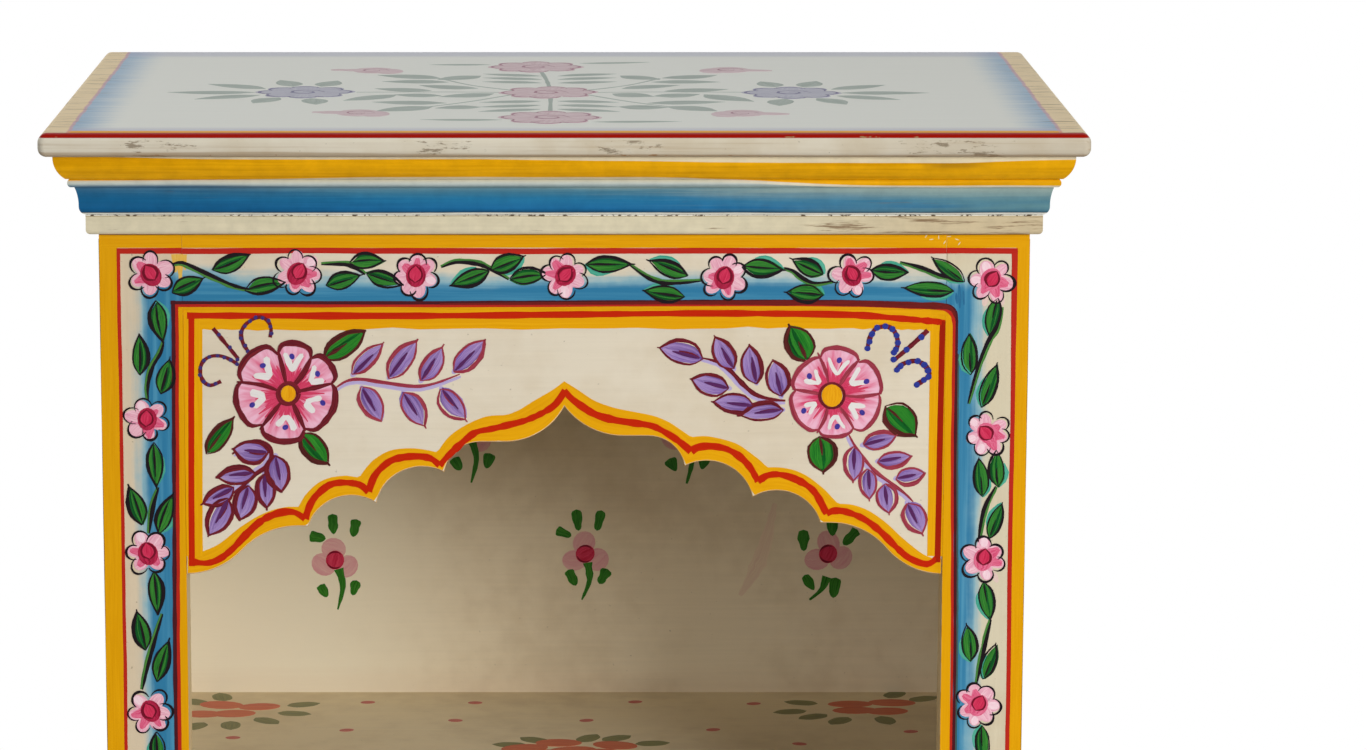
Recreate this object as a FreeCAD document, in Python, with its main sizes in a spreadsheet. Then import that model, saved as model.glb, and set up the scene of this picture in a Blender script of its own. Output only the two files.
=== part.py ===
import FreeCAD, Part
import Sketcher
import math
import os

# A painted nightstand with a cusped arch niche and one drawer.
# Millimetres. Z is up from the floor, the front faces -Y, X = 0 is the middle.

doc = FreeCAD.newDocument("nightstand")

# How near two edges' places must be to count as the same

NEAR = 0.01

# Driving dimensions

DIMENSIONS = (
    # Overall
    ("top_width", 500, "width of the top board"),
    ("top_depth", 350, "depth of the top board"),
    ("top_thickness", 11, "thickness of the top board"),
    ("top_overhang", 26, "top board past the body at the front and sides"),
    ("top_corner_radius", 3.5, "plan rounding of the top's corners"),
    ("top_upper_round", 4, "rounding of the top's upper edge"),
    ("top_lower_round", 4, "rounding of the top's lower edge"),
    # Heights, from the floor up
    ("leg_height", 65, "floor to the bottom rail"),
    ("bottom_rail_height", 36, "height of the bottom rail"),
    ("drawer_opening_height", 108, "bottom rail to middle rail"),
    ("middle_rail_height", 36, "height of the middle rail"),
    ("niche_side_height", 136, "niche floor to the foot of the arch"),
    ("arch_panel_height", 131, "foot of the arch to the top rail"),
    ("top_rail_reveal", 37, "top rail seen under the cornice"),
    # Front frame
    ("stile_width", 40, "width of a front stile"),
    ("frame_thickness", 22, "thickness of stiles and front rails"),
    ("edge_chamfer", 1.4, "worn bevel on the outer edges of stiles and posts"),
    ("edge_ease", 0.4, "eased front edges where boards meet"),
    ("tenon_thickness", 8, "thickness of a rail's tenon"),
    ("tenon_length", 22, "length of a front rail's tenon"),
    ("tenon_shoulder", 5, "shoulder above and below a tenon"),
    ("joint_gap", 0.1, "play beside a tongue or tenon"),
    ("end_gap", 1, "play at the end of a tongue or tenon"),
    # Cornice
    ("cornice_fillet_height", 9.6, "flat band at the foot of the cornice"),
    ("cornice_fillet_reach", 5.5, "reach of the flat band"),
    ("cornice_fillet_round", 2.4, "rounding of the flat band's lower edge"),
    ("cove_height", 14.4, "height of the hollow member"),
    ("cove_foot_rise", 4.6, "height of the round at the hollow's foot"),
    ("cove_foot_reach", 4.7, "reach at the foot of the hollow"),
    ("cove_reach", 8.4, "reach at the middle of the hollow"),
    ("cove_head_reach", 10.2, "reach at the head of the hollow"),
    ("cove_foot_radius", 4.6, "radius of the round at the hollow's foot"),
    ("cove_radius", 24, "radius of the hollow"),
    ("bead_height", 4.2, "height of the bead"),
    ("bead_radius", 2.4, "radius of the bead"),
    ("bead_back", 12, "reach where the bead starts"),
    ("ovolo_height", 11.8, "height of the quarter round"),
    ("ovolo_foot", 14, "reach at the foot of the quarter round"),
    ("ovolo_reach", 19.4, "reach at the head of the quarter round"),
    ("ovolo_radius", 14, "radius of the quarter round"),
    # Cusped arch
    ("arch_panel_thickness", 14, "thickness of the arch panel"),
    ("arch_panel_setback", 0.8, "arch panel behind the frame's face"),
    ("arch_tongue_thickness", 6, "tongue in the stiles and the rail"),
    ("arch_tongue_length", 6, "length of that tongue"),
    ("arch_apex_rise", 83, "point of the arch above its foot"),
    ("crown_half_width", 58.3, "middle of the arch to the first cusp"),
    ("crown_flat_length", 12, "straight part of the crown"),
    ("crown_foil_run", 17.5, "run of the round beside the first cusp"),
    ("crown_rise_right", 68.5, "flat of the crown above the foot, right half"),
    ("cusp_rise_inner_right", 53.7, "first cusp above the foot, right half"),
    ("cusp_rise_middle_right", 38.3, "second cusp above the foot, right half"),
    ("cusp_rise_outer_right", 25.5, "third cusp above the foot, right half"),
    ("crown_rise_left", 65.6, "flat of the crown above the foot, left half"),
    ("cusp_rise_inner_left", 50.7, "first cusp above the foot, left half"),
    ("cusp_rise_middle_left", 35.4, "second cusp above the foot, left half"),
    ("cusp_rise_outer_left", 23.8, "third cusp above the foot, left half"),
    ("foil_roundness", 0.63, "radius of a foil as a share of its chord"),
    ("sweep_run", 59.5, "third cusp to the stile"),
    ("sweep_flat", 5, "straight part beside the third cusp"),
    # Sides and back
    ("side_rail_thickness", 15, "thickness of a side rail"),
    ("side_panel_thickness", 6, "thickness of a side panel"),
    ("side_panel_recess", 4.5, "side panel behind the side frame's face"),
    ("panel_tongue", 7, "side and back panels let into their frames"),
    ("post_width", 15, "width of a back post"),
    ("post_depth", 40, "depth of a back post"),
    ("back_panel_thickness", 6, "thickness of the back panel"),
    ("back_panel_place", 24, "back panel's inner face behind the post's face"),
    ("back_rail_thickness", 18, "thickness of a back rail"),
    ("back_rail_height", 40, "height of the upper back rail"),
    # Niche floor and strips
    ("niche_floor_thickness", 14, "thickness of the niche floor"),
    ("floor_side_gap", 0.6, "niche floor short of the side panels"),
    ("runner_thickness", 14, "thickness of a runner"),
    ("guide_height", 16, "height of a drawer guide"),
    ("stop_width", 12, "width of a drawer stop"),
    ("stop_height", 12, "height of a drawer stop"),
    ("cleat_half_length", 150, "half the length of a top cleat"),
    ("cleat_width", 22, "width of a top cleat"),
    ("cleat_height", 22, "height of a top cleat"),
    ("top_screw_place", 110, "middle to a top screw"),
    ("top_screw_radius", 2, "radius of a top screw's shank"),
    ("top_screw_head_radius", 4, "radius of a top screw's head"),
    ("top_screw_head_height", 2.5, "height of a top screw's head"),
    ("top_screw_bite", 6, "top screw inside the top board"),
    ("screw_play", 0.15, "play around a screw"),
    # Drawer
    ("drawer_gap", 1, "play around the drawer front"),
    ("drawer_slide_gap", 0.3, "play under the drawer sides"),
    ("drawer_front_thickness", 18, "thickness of the drawer front"),
    ("drawer_front_round", 1, "worn bevel of the drawer front"),
    ("drawer_side_thickness", 12, "thickness of the drawer sides and back"),
    ("drawer_side_inset", 1, "drawer side inside the drawer front's end"),
    ("drawer_lap", 10, "drawer side let into the drawer front"),
    ("drawer_side_drop", 12.7, "drawer sides below the top of the opening"),
    ("drawer_stop_length", 9, "length of a drawer stop"),
    ("drawer_stop_gap", 0.3, "drawer side to its stop"),
    ("drawer_back_drop", 6, "drawer back below the drawer sides"),
    ("drawer_back_inset", 6, "drawer sides past the drawer back"),
    ("drawer_dado", 4, "drawer back let into the sides"),
    ("drawer_bottom_thickness", 5, "thickness of the drawer bottom"),
    ("drawer_bottom_rise", 8.7, "drawer bottom above the lower edge of the sides"),
    ("drawer_groove", 6, "depth of the drawer bottom's groove"),
    # Bottom rail's lower edge
    ("apron_rise", 13, "rise of the bottom rail's lower edge"),
    ("apron_foot", 26, "straight part beside the stile"),
    ("apron_run", 44, "run of the curve up to the rise"),
    # Knob
    ("knob_base_radius", 8.5, "radius of the knob's base"),
    ("knob_base_length", 2.4, "length of the knob's base"),
    ("knob_neck_radius", 5.6, "radius of the knob's neck"),
    ("knob_neck_place", 7, "knob's base to its neck"),
    ("knob_head_radius", 14, "radius of the knob's head"),
    ("knob_head_place", 16, "knob's base to the widest place"),
    ("knob_length", 24, "length of the knob"),
    ("knob_hollow_radius", 6.4, "radius of the hollow beside the neck"),
    ("knob_under_radius", 12.5, "radius of the head's underside"),
    ("knob_dome_radius", 16, "radius of the knob's dome"),
    ("knob_bore_depth", 14, "depth of the knob's screw hole"),
    ("knob_screw_radius", 2, "radius of the knob screw's shank"),
    ("knob_screw_head_radius", 4.2, "radius of the knob screw's head"),
    ("knob_screw_head_height", 2.6, "height of the knob screw's head"),
    ("knob_screw_bite", 12, "knob screw inside the knob"),
)

sheet = doc.addObject("Spreadsheet::Sheet", "dims")
for row, (alias, value, note) in enumerate(DIMENSIONS, start=1):
    sheet.set(f"A{row}", alias)
    sheet.set(f"B{row}", str(value))
    sheet.setAlias(f"B{row}", alias)
    sheet.set(f"C{row}", note)
doc.recompute()

# Levels worked out from the driving dimensions, kept as expressions

Z_LEG = "dims.leg_height"
Z_DRAWER = f"({Z_LEG} + dims.bottom_rail_height)"
Z_MIDDLE = f"({Z_DRAWER} + dims.drawer_opening_height)"
Z_FLOOR = f"({Z_MIDDLE} + dims.middle_rail_height)"
Z_SPRING = f"({Z_FLOOR} + dims.niche_side_height)"
Z_RAIL = f"({Z_SPRING} + dims.arch_panel_height)"
Z_CORNICE = f"({Z_RAIL} + dims.top_rail_reveal)"
CORNICE_HEIGHT = "(dims.cornice_fillet_height + dims.cove_height + dims.bead_height + dims.ovolo_height)"
Z_TOP = f"({Z_CORNICE} + {CORNICE_HEIGHT})"
X_BODY = "(dims.top_width / 2 - dims.top_overhang)"
X_OPEN = f"({X_BODY} - dims.stile_width)"
Y_BACK = "(dims.top_depth / 2)"
Y_FRONT = f"(dims.top_overhang - {Y_BACK})"
Y_FRAME = f"({Y_FRONT} + dims.frame_thickness)"
Y_POST = f"({Y_BACK} - dims.post_depth)"
X_POST = f"({X_BODY} - dims.post_width)"
X_PANEL_OUT = f"({X_BODY} - dims.side_panel_recess)"
X_PANEL_IN = f"({X_PANEL_OUT} - dims.side_panel_thickness)"
X_SIDE_RAIL = f"({X_BODY} - dims.side_rail_thickness)"
Y_PANEL_IN = f"({Y_POST} + dims.back_panel_place)"
Y_PANEL_OUT = f"({Y_PANEL_IN} + dims.back_panel_thickness)"
Y_TENON = f"({Y_FRONT} + (dims.frame_thickness - dims.tenon_thickness) / 2)"
Y_TENON_END = f"({Y_TENON} + dims.tenon_thickness)"

MIRROR = {1: "right", -1: "left"}


def number(expression):
    """The value an expression has now."""
    return float(sheet.evalExpression(expression))


def across(side, low, high):
    """A span on X for the right side, or its mirror for the left."""
    if side > 0:
        return (low, high)
    return (f"-({high})", f"-({low})")


def block(name, x, y, z):
    """A squared piece between two places on each axis."""
    piece = doc.addObject("Part::Box", name)
    spans = (("x", "Length", x), ("y", "Width", y), ("z", "Height", z))
    for axis, size, (low, high) in spans:
        piece.setExpression(f"Placement.Base.{axis}", low)
        piece.setExpression(size, f"({high}) - ({low})")
    return piece


def rod(name, x, y, z, radius):
    """An upright round rod from z[0] to z[1]."""
    piece = doc.addObject("Part::Cylinder", name)
    piece.setExpression("Placement.Base.x", x)
    piece.setExpression("Placement.Base.y", y)
    piece.setExpression("Placement.Base.z", z[0])
    piece.setExpression("Height", f"({z[1]}) - ({z[0]})")
    piece.setExpression("Radius", radius)
    return piece


def joined(name, *pieces):
    """Several shapes made into one."""
    result = doc.addObject("Part::MultiFuse", name)
    result.Shapes = list(pieces)
    result.Refine = True
    return result


def cut(name, base, *tools):
    """A shape with other shapes taken out of it."""
    result = doc.addObject("Part::Cut", name)
    result.Base = base
    result.Tool = tools[0] if len(tools) == 1 else joined(name + "_waste", *tools)
    return result


def plane_of(body, role):
    """One of a body's own origin planes."""
    return [item for item in body.Origin.OriginFeatures if item.Role == role][0]


def arc_between(start, end, radius, bend):
    """An arc of a radius from start to end; bend 1 turns left, -1 turns right."""
    chord = end - start
    middle = (start + end) * 0.5
    rise = math.sqrt(max(radius * radius - chord.Length ** 2 / 4, 0.0))
    normal = FreeCAD.Vector(-chord.y, chord.x, 0).normalize()
    centre = middle + normal * (rise * bend)
    first = math.atan2(start.y - centre.y, start.x - centre.x)
    last = math.atan2(end.y - centre.y, end.x - centre.x)
    circle = Part.Circle(centre, FreeCAD.Vector(0, 0, 1), radius)
    if bend > 0:
        return Part.ArcOfCircle(circle, first, last)
    return Part.ArcOfCircle(circle, last, first)


def outline(body, name, role, corners):
    """A closed sketch. Each corner is (u, v) or (u, v, radius, bend).

    A radius and bend belong to the edge that leaves the corner.
    """
    sketch = body.newObject("Sketcher::SketchObject", name)
    sketch.AttachmentSupport = (plane_of(body, role), [""])
    sketch.MapMode = "FlatFace"
    points = [FreeCAD.Vector(number(c[0]), number(c[1]), 0) for c in corners]
    ends = []
    for index, corner in enumerate(corners):
        start = points[index]
        end = points[(index + 1) % len(points)]
        if len(corner) == 2:
            sketch.addGeometry(Part.LineSegment(start, end), False)
            ends.append((1, 2))
            continue
        radius = number(corner[2])
        sketch.addGeometry(arc_between(start, end, radius, corner[3]), False)
        ends.append((1, 2) if corner[3] > 0 else (2, 1))
        place = sketch.addConstraint(Sketcher.Constraint("Radius", index, radius))
        sketch.renameConstraint(place, f"radius_{index}")
        sketch.setExpression(f"Constraints.radius_{index}", corner[2])
    for index in range(len(corners)):
        after = (index + 1) % len(corners)
        sketch.addConstraint(
            Sketcher.Constraint("Coincident", index, ends[index][1], after, ends[after][0])
        )
    for index, corner in enumerate(corners):
        for kind, axis, expression in (("DistanceX", "u", corner[0]), ("DistanceY", "v", corner[1])):
            value = number(expression)
            place = sketch.addConstraint(Sketcher.Constraint(kind, index, ends[index][0], value))
            sketch.renameConstraint(place, f"{axis}_{index}")
            sketch.setExpression(f"Constraints.{axis}_{index}", expression)
    return sketch


def new_body(name, x="0", y="0", z="0"):
    """A body placed by expressions."""
    body = doc.addObject("PartDesign::Body", name)
    for axis, expression in (("x", x), ("y", y), ("z", z)):
        body.setExpression(f"Placement.Base.{axis}", expression)
    return body


def pad(body, name, sketch, length, backwards=False, both_ways=False):
    """A sketch given thickness."""
    feature = body.newObject("PartDesign::Pad", name)
    feature.Profile = sketch
    feature.setExpression("Length", length)
    feature.Reversed = backwards
    if both_ways:
        feature.SideType = "Symmetric"
    return feature


def cut_upwards(body, name, sketch):
    """A level sketch cut up through the whole body."""
    feature = body.newObject("PartDesign::Pocket", name)
    feature.Profile = sketch
    feature.Type = "ThroughAll"
    feature.Reversed = True
    return feature


def mirrored(body, name, features, role):
    """Features repeated on the other side of an origin plane."""
    feature = body.newObject("PartDesign::Mirrored", name)
    feature.Originals = features
    feature.MirrorPlane = (plane_of(body, role), [""])
    body.Tip = feature
    return feature


def turned(body, name, sketch):
    """A sketch turned around its own upright axis."""
    feature = body.newObject("PartDesign::Revolution", name)
    feature.Profile = sketch
    feature.ReferenceAxis = (sketch, ["V_Axis"])
    feature.Angle = 360
    return feature


def edges_where(shape, wanted):
    """Names of the edges of a shape that a test picks."""
    return [f"Edge{i}" for i, edge in enumerate(shape.Edges, start=1) if wanted(edge)]


def rounded(body, name, base, edge_names, radius):
    """Edges rounded over."""
    feature = body.newObject("PartDesign::Fillet", name)
    feature.Base = (base, edge_names)
    feature.setExpression("Radius", radius)
    return feature


def bevelled(body, name, base, edge_names, size):
    """Edges bevelled."""
    feature = body.newObject("PartDesign::Chamfer", name)
    feature.Base = (base, edge_names)
    feature.setExpression("Size", size)
    return feature


nodes = []


def node(piece, label):
    """A finished sub-part under its own name."""
    piece.Label = label
    nodes.append(piece)
    return piece


# Front stiles, which run down as the front feet

TONGUE_DEEP = "(dims.panel_tongue + dims.end_gap)"
Y_ARCH = f"({Y_FRONT} + dims.arch_panel_setback)"
Y_ARCH_TONGUE = f"({Y_ARCH} + (dims.arch_panel_thickness - dims.arch_tongue_thickness) / 2)"
Y_ARCH_TONGUE_END = f"({Y_ARCH_TONGUE} + dims.arch_tongue_thickness)"
RAIL_SPANS = (
    ("bottom", Z_LEG, Z_DRAWER),
    ("middle", Z_MIDDLE, Z_FLOOR),
    ("top", Z_RAIL, Z_TOP),
)


def stile_blank(side):
    """A stile's plan with its front arrises bevelled, raised to full height."""
    hand = MIRROR[side]
    body = new_body(f"stile_{hand}_blank")
    outer = f"{side} * {X_BODY}"
    inner = f"{side} * {X_OPEN}"
    corner = f"{side} * ({X_BODY} - dims.edge_chamfer)"
    plan = [
        (inner, f"{Y_FRONT} + dims.edge_ease"),
        (f"{side} * ({X_OPEN} + dims.edge_ease)", Y_FRONT),
        (corner, Y_FRONT),
        (outer, f"{Y_FRONT} + dims.edge_chamfer"),
        (outer, Y_FRAME),
        (inner, Y_FRAME),
    ]
    sketch = outline(body, f"stile_{hand}_plan", "XY_Plane", plan)
    pad(body, f"stile_{hand}_pad", sketch, Z_TOP)
    return body


for side in (1, -1):
    hand = MIRROR[side]
    waste = []
    for place, low, high in RAIL_SPANS:
        reach = f"{X_OPEN} + dims.tenon_length + dims.end_gap"
        waste.append(block(
            f"stile_{hand}_mortise_{place}",
            across(side, X_OPEN, reach),
            (f"{Y_TENON} - dims.joint_gap", f"{Y_TENON_END} + dims.joint_gap"),
            (
                f"{low} + dims.tenon_shoulder - dims.joint_gap",
                f"{high} - dims.tenon_shoulder + dims.joint_gap",
            ),
        ))
    waste.append(block(
        f"stile_{hand}_arch_groove",
        across(side, X_OPEN, f"{X_OPEN} + dims.arch_tongue_length + dims.end_gap"),
        (f"{Y_ARCH_TONGUE} - dims.joint_gap", f"{Y_ARCH_TONGUE_END} + dims.joint_gap"),
        (Z_SPRING, Z_RAIL),
    ))
    waste.append(block(
        f"stile_{hand}_side_groove",
        across(side, f"{X_PANEL_IN} - dims.joint_gap", f"{X_PANEL_OUT} + dims.joint_gap"),
        (f"{Y_FRAME} - {TONGUE_DEEP}", Y_FRAME),
        (Z_LEG, Z_TOP),
    ))
    node(cut(f"stile_{hand}_cut", stile_blank(side), *waste), f"stile_{hand}")

# Front rails with tenons at both ends

X_TENON = f"({X_OPEN} + dims.tenon_length)"


def tenons(place, low, high):
    """One bar through a rail that makes the tenons at both ends."""
    return block(
        f"rail_{place}_tenons",
        (f"-{X_TENON}", X_TENON),
        (Y_TENON, Y_TENON_END),
        (f"{low} + dims.tenon_shoulder", f"{high} - dims.tenon_shoulder"),
    )


def rail_board(place, low, high):
    """A rail's section with its front edges eased, run between the stiles."""
    body = new_body(f"rail_{place}_board")
    section = outline(body, f"rail_{place}_section", "YZ_Plane", [
        (Y_FRONT, f"{low} + dims.edge_ease"),
        (f"{Y_FRONT} + dims.edge_ease", low),
        (Y_FRAME, low),
        (Y_FRAME, high),
        (f"{Y_FRONT} + dims.edge_ease", high),
        (Y_FRONT, f"{high} - dims.edge_ease"),
    ])
    pad(body, f"rail_{place}_run", section, f"2 * {X_OPEN}", both_ways=True)
    return body


rail_top_blank = joined(
    "rail_top_blank", rail_board("top", Z_RAIL, Z_TOP), tenons("top", Z_RAIL, Z_TOP)
)
rail_top_groove = block(
    "rail_top_groove",
    (f"-{X_OPEN}", X_OPEN),
    (f"{Y_ARCH_TONGUE} - dims.joint_gap", f"{Y_ARCH_TONGUE_END} + dims.joint_gap"),
    (Z_RAIL, f"{Z_RAIL} + dims.arch_tongue_length + dims.end_gap"),
)
node(cut("rail_top_cut", rail_top_blank, rail_top_groove), "rail_top")

rail_middle = joined(
    "rail_middle_joined", rail_board("middle", Z_MIDDLE, Z_FLOOR), tenons("middle", Z_MIDDLE, Z_FLOOR)
)
node(rail_middle, "rail_middle")

# Bottom rail with a shaped lower edge

APRON_FOOT = f"({X_OPEN} - dims.apron_foot)"
APRON_HEAD = f"({APRON_FOOT} - dims.apron_run)"
APRON_MIDDLE = f"({APRON_FOOT} - dims.apron_run / 2)"
APRON_SQUARES = "(dims.apron_run * dims.apron_run / 4 + dims.apron_rise * dims.apron_rise / 4)"
APRON_RADIUS = f"({APRON_SQUARES} / dims.apron_rise)"
apron = new_body("rail_bottom_board", y=Y_FRONT, z=Z_LEG)
apron_sketch = outline(apron, "rail_bottom_face", "XZ_Plane", [
    ("0", "dims.apron_rise"),
    (APRON_HEAD, "dims.apron_rise", APRON_RADIUS, -1),
    (APRON_MIDDLE, "dims.apron_rise / 2", APRON_RADIUS, 1),
    (APRON_FOOT, "0"),
    (X_OPEN, "0"),
    (X_OPEN, "dims.bottom_rail_height"),
    ("0", "dims.bottom_rail_height"),
])
apron_pad = pad(apron, "rail_bottom_pad", apron_sketch, "dims.frame_thickness", backwards=True)
apron_mirror = mirrored(apron, "rail_bottom_mirror", [apron_pad], "YZ_Plane")
doc.recompute()
apron_edges = edges_where(
    apron_mirror.Shape, lambda e: abs(e.BoundBox.YMax) < NEAR and e.BoundBox.XLength > NEAR
)
bevelled(apron, "rail_bottom_ease", apron_mirror, apron_edges, "dims.edge_ease")
apron_tenons = [
    block(
        f"rail_bottom_tenon_{MIRROR[side]}",
        across(side, f"{X_OPEN} - dims.tenon_shoulder", X_TENON),
        (Y_TENON, Y_TENON_END),
        (f"{Z_LEG} + dims.tenon_shoulder", f"{Z_DRAWER} - dims.tenon_shoulder"),
    )
    for side in (1, -1)
]
node(joined("rail_bottom_joined", apron, *apron_tenons), "rail_bottom")

# Arch panel: a cusped outline given thickness, its halves sawn by eye to slightly different heights

CROWN_FOIL = "(dims.crown_half_width - dims.crown_foil_run)"
CROWN_OGEE = f"({CROWN_FOIL} - dims.crown_flat_length)"
CUSP_OUTER = f"({X_OPEN} - dims.sweep_run)"
FOIL_PITCH = f"(({CUSP_OUTER} - dims.crown_half_width) / 2)"
CUSP_MIDDLE = f"(dims.crown_half_width + {FOIL_PITCH})"
SWEEP_START = f"({CUSP_OUTER} + dims.sweep_flat)"
SWEEP_HALF = f"(({X_OPEN} - {SWEEP_START}) / 2)"
SWEEP_MIDDLE = f"({SWEEP_START} + {SWEEP_HALF})"


def tangent_radius(run, rise):
    """Radius of an arc that starts level and climbs a rise over a run."""
    return f"((({run}) * ({run}) + ({rise}) * ({rise})) / (2 * ({rise})))"


def foil_radius(drop):
    """Radius of a foil one pitch wide."""
    return f"(dims.foil_roundness * sqrt({FOIL_PITCH} * {FOIL_PITCH} + ({drop}) * ({drop})))"


def arch_half(hand):
    """One half from the arch's point out to the stile: its stations and the edges after them."""
    crown = f"dims.crown_rise_{hand}"
    inner = f"dims.cusp_rise_inner_{hand}"
    middle = f"dims.cusp_rise_middle_{hand}"
    outer = f"dims.cusp_rise_outer_{hand}"
    sweep = tangent_radius(SWEEP_HALF, f"{outer} / 2")
    stations = [
        ("0", "dims.arch_apex_rise"),
        (CROWN_OGEE, crown),
        (CROWN_FOIL, crown),
        ("dims.crown_half_width", inner),
        (CUSP_MIDDLE, middle),
        (CUSP_OUTER, outer),
        (SWEEP_START, outer),
        (SWEEP_MIDDLE, f"{outer} / 2"),
        (X_OPEN, "0"),
    ]
    edges = [
        (tangent_radius(CROWN_OGEE, f"dims.arch_apex_rise - {crown}"), 1),
        (),
        (tangent_radius("dims.crown_foil_run", f"{crown} - {inner}"), -1),
        (foil_radius(f"{inner} - {middle}"), -1),
        (foil_radius(f"{middle} - {outer}"), -1),
        (),
        (sweep, -1),
        (sweep, 1),
    ]
    return stations, edges


right_stations, right_edges = arch_half("right")
left_stations, left_edges = arch_half("left")
arch_corners = [station + edge for station, edge in zip(right_stations, right_edges)]
arch_corners.append(right_stations[-1])
arch_corners.append((X_OPEN, "dims.arch_panel_height"))
arch_corners.append((f"-{X_OPEN}", "dims.arch_panel_height"))
for (reach, rise), edge in zip(reversed(left_stations[1:]), reversed(left_edges)):
    arch_corners.append((f"-({reach})", rise) + edge)

arch = new_body("arch_panel_body", y=Y_ARCH, z=Z_SPRING)
arch_sketch = outline(arch, "arch_outline", "XZ_Plane", arch_corners)
arch_pad = pad(arch, "arch_pad", arch_sketch, "dims.arch_panel_thickness", backwards=True)
doc.recompute()
arch_edges = edges_where(arch_pad.Shape, lambda e: abs(e.BoundBox.YMax) < NEAR)
bevelled(arch, "arch_ease", arch_pad, arch_edges, "dims.edge_ease")
arch_tongues = [
    block(
        f"arch_tongue_{MIRROR[side]}",
        across(side, f"{X_OPEN} - dims.arch_tongue_length", f"{X_OPEN} + dims.arch_tongue_length"),
        (Y_ARCH_TONGUE, Y_ARCH_TONGUE_END),
        (f"{Z_SPRING} + dims.arch_tongue_length", Z_RAIL),
    )
    for side in (1, -1)
]
arch_tongues.append(block(
    "arch_tongue_top",
    (f"dims.end_gap - {X_OPEN}", f"{X_OPEN} - dims.end_gap"),
    (Y_ARCH_TONGUE, Y_ARCH_TONGUE_END),
    (f"{Z_RAIL} - dims.arch_tongue_length", f"{Z_RAIL} + dims.arch_tongue_length"),
))
node(joined("arch_panel_joined", arch, *arch_tongues), "arch_panel")

# Back posts

for side in (1, -1):
    hand = MIRROR[side]
    post = new_body(f"back_post_{hand}_blank")
    outer = f"{side} * {X_BODY}"
    inner = f"{side} * {X_POST}"
    corner = f"{side} * ({X_BODY} - dims.edge_chamfer)"
    post_plan = outline(post, f"back_post_{hand}_plan", "XY_Plane", [
        (inner, Y_POST),
        (outer, Y_POST),
        (outer, f"{Y_BACK} - dims.edge_chamfer"),
        (corner, Y_BACK),
        (inner, Y_BACK),
    ])
    pad(post, f"back_post_{hand}_pad", post_plan, Z_TOP)
    side_groove = block(
        f"back_post_{hand}_side_groove",
        across(side, f"{X_PANEL_IN} - dims.joint_gap", f"{X_PANEL_OUT} + dims.joint_gap"),
        (Y_POST, f"{Y_POST} + {TONGUE_DEEP}"),
        (Z_LEG, Z_TOP),
    )
    back_groove = block(
        f"back_post_{hand}_back_groove",
        across(side, X_POST, f"{X_POST} + {TONGUE_DEEP}"),
        (f"{Y_PANEL_IN} - dims.joint_gap", f"{Y_PANEL_OUT} + dims.joint_gap"),
        (Z_LEG, Z_TOP),
    )
    node(cut(f"back_post_{hand}_cut", post, side_groove, back_groove), f"back_post_{hand}")

# Side frames: rails with stub tenons, and a panel in their grooves

for side in (1, -1):
    hand = MIRROR[side]
    panel_x = across(side, f"{X_PANEL_IN} + dims.joint_gap", f"{X_PANEL_OUT} - dims.joint_gap")
    groove_x = across(side, X_PANEL_IN, X_PANEL_OUT)
    panel_y = (f"{Y_FRAME} - dims.panel_tongue", f"{Y_POST} + dims.panel_tongue")
    for place, low, high in (("bottom", Z_LEG, Z_DRAWER), ("top", Z_RAIL, Z_TOP)):
        board = block(
            f"side_rail_{place}_{hand}_board",
            across(side, X_SIDE_RAIL, X_BODY),
            (Y_FRAME, Y_POST),
            (low, high),
        )
        stub = block(f"side_rail_{place}_{hand}_stub", panel_x, panel_y, (low, high))
        if place == "bottom":
            groove_z = (f"{high} - {TONGUE_DEEP}", high)
        else:
            groove_z = (low, f"{low} + {TONGUE_DEEP}")
        groove = block(f"side_rail_{place}_{hand}_groove", groove_x, panel_y, groove_z)
        blank = joined(f"side_rail_{place}_{hand}_blank", board, stub)
        node(cut(f"side_rail_{place}_{hand}_cut", blank, groove), f"side_rail_{place}_{hand}")
    node(
        block(
            f"side_panel_{hand}_board",
            panel_x,
            panel_y,
            (f"{Z_DRAWER} - dims.panel_tongue", f"{Z_RAIL} + dims.panel_tongue"),
        ),
        f"side_panel_{hand}",
    )

# Back frame

Y_BACK_RAIL = f"(({Y_PANEL_IN} + {Y_PANEL_OUT} - dims.back_rail_thickness) / 2)"
Y_BACK_RAIL_END = f"({Y_BACK_RAIL} + dims.back_rail_thickness)"
Z_BACK_RAIL = f"({Z_TOP} - dims.back_rail_height)"
back_panel_x = (f"-({X_POST} + dims.panel_tongue)", f"{X_POST} + dims.panel_tongue")
back_panel_y = (f"{Y_PANEL_IN} + dims.joint_gap", f"{Y_PANEL_OUT} - dims.joint_gap")
for place, low, high in (("bottom", Z_LEG, Z_DRAWER), ("top", Z_BACK_RAIL, Z_TOP)):
    board = block(
        f"back_rail_{place}_board", (f"-{X_POST}", X_POST), (Y_BACK_RAIL, Y_BACK_RAIL_END), (low, high)
    )
    stub = block(f"back_rail_{place}_stub", back_panel_x, back_panel_y, (low, high))
    if place == "bottom":
        groove_z = (f"{high} - {TONGUE_DEEP}", high)
    else:
        groove_z = (low, f"{low} + {TONGUE_DEEP}")
    groove = block(f"back_rail_{place}_groove", back_panel_x, (Y_PANEL_IN, Y_PANEL_OUT), groove_z)
    blank = joined(f"back_rail_{place}_blank", board, stub)
    node(cut(f"back_rail_{place}_cut", blank, groove), f"back_rail_{place}")
back_panel_z = (f"{Z_DRAWER} - dims.panel_tongue", f"{Z_BACK_RAIL} + dims.panel_tongue")
node(block("back_panel_board", back_panel_x, back_panel_y, back_panel_z), "back_panel")

# Niche floor, notched round the back posts, on two kickers

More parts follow.
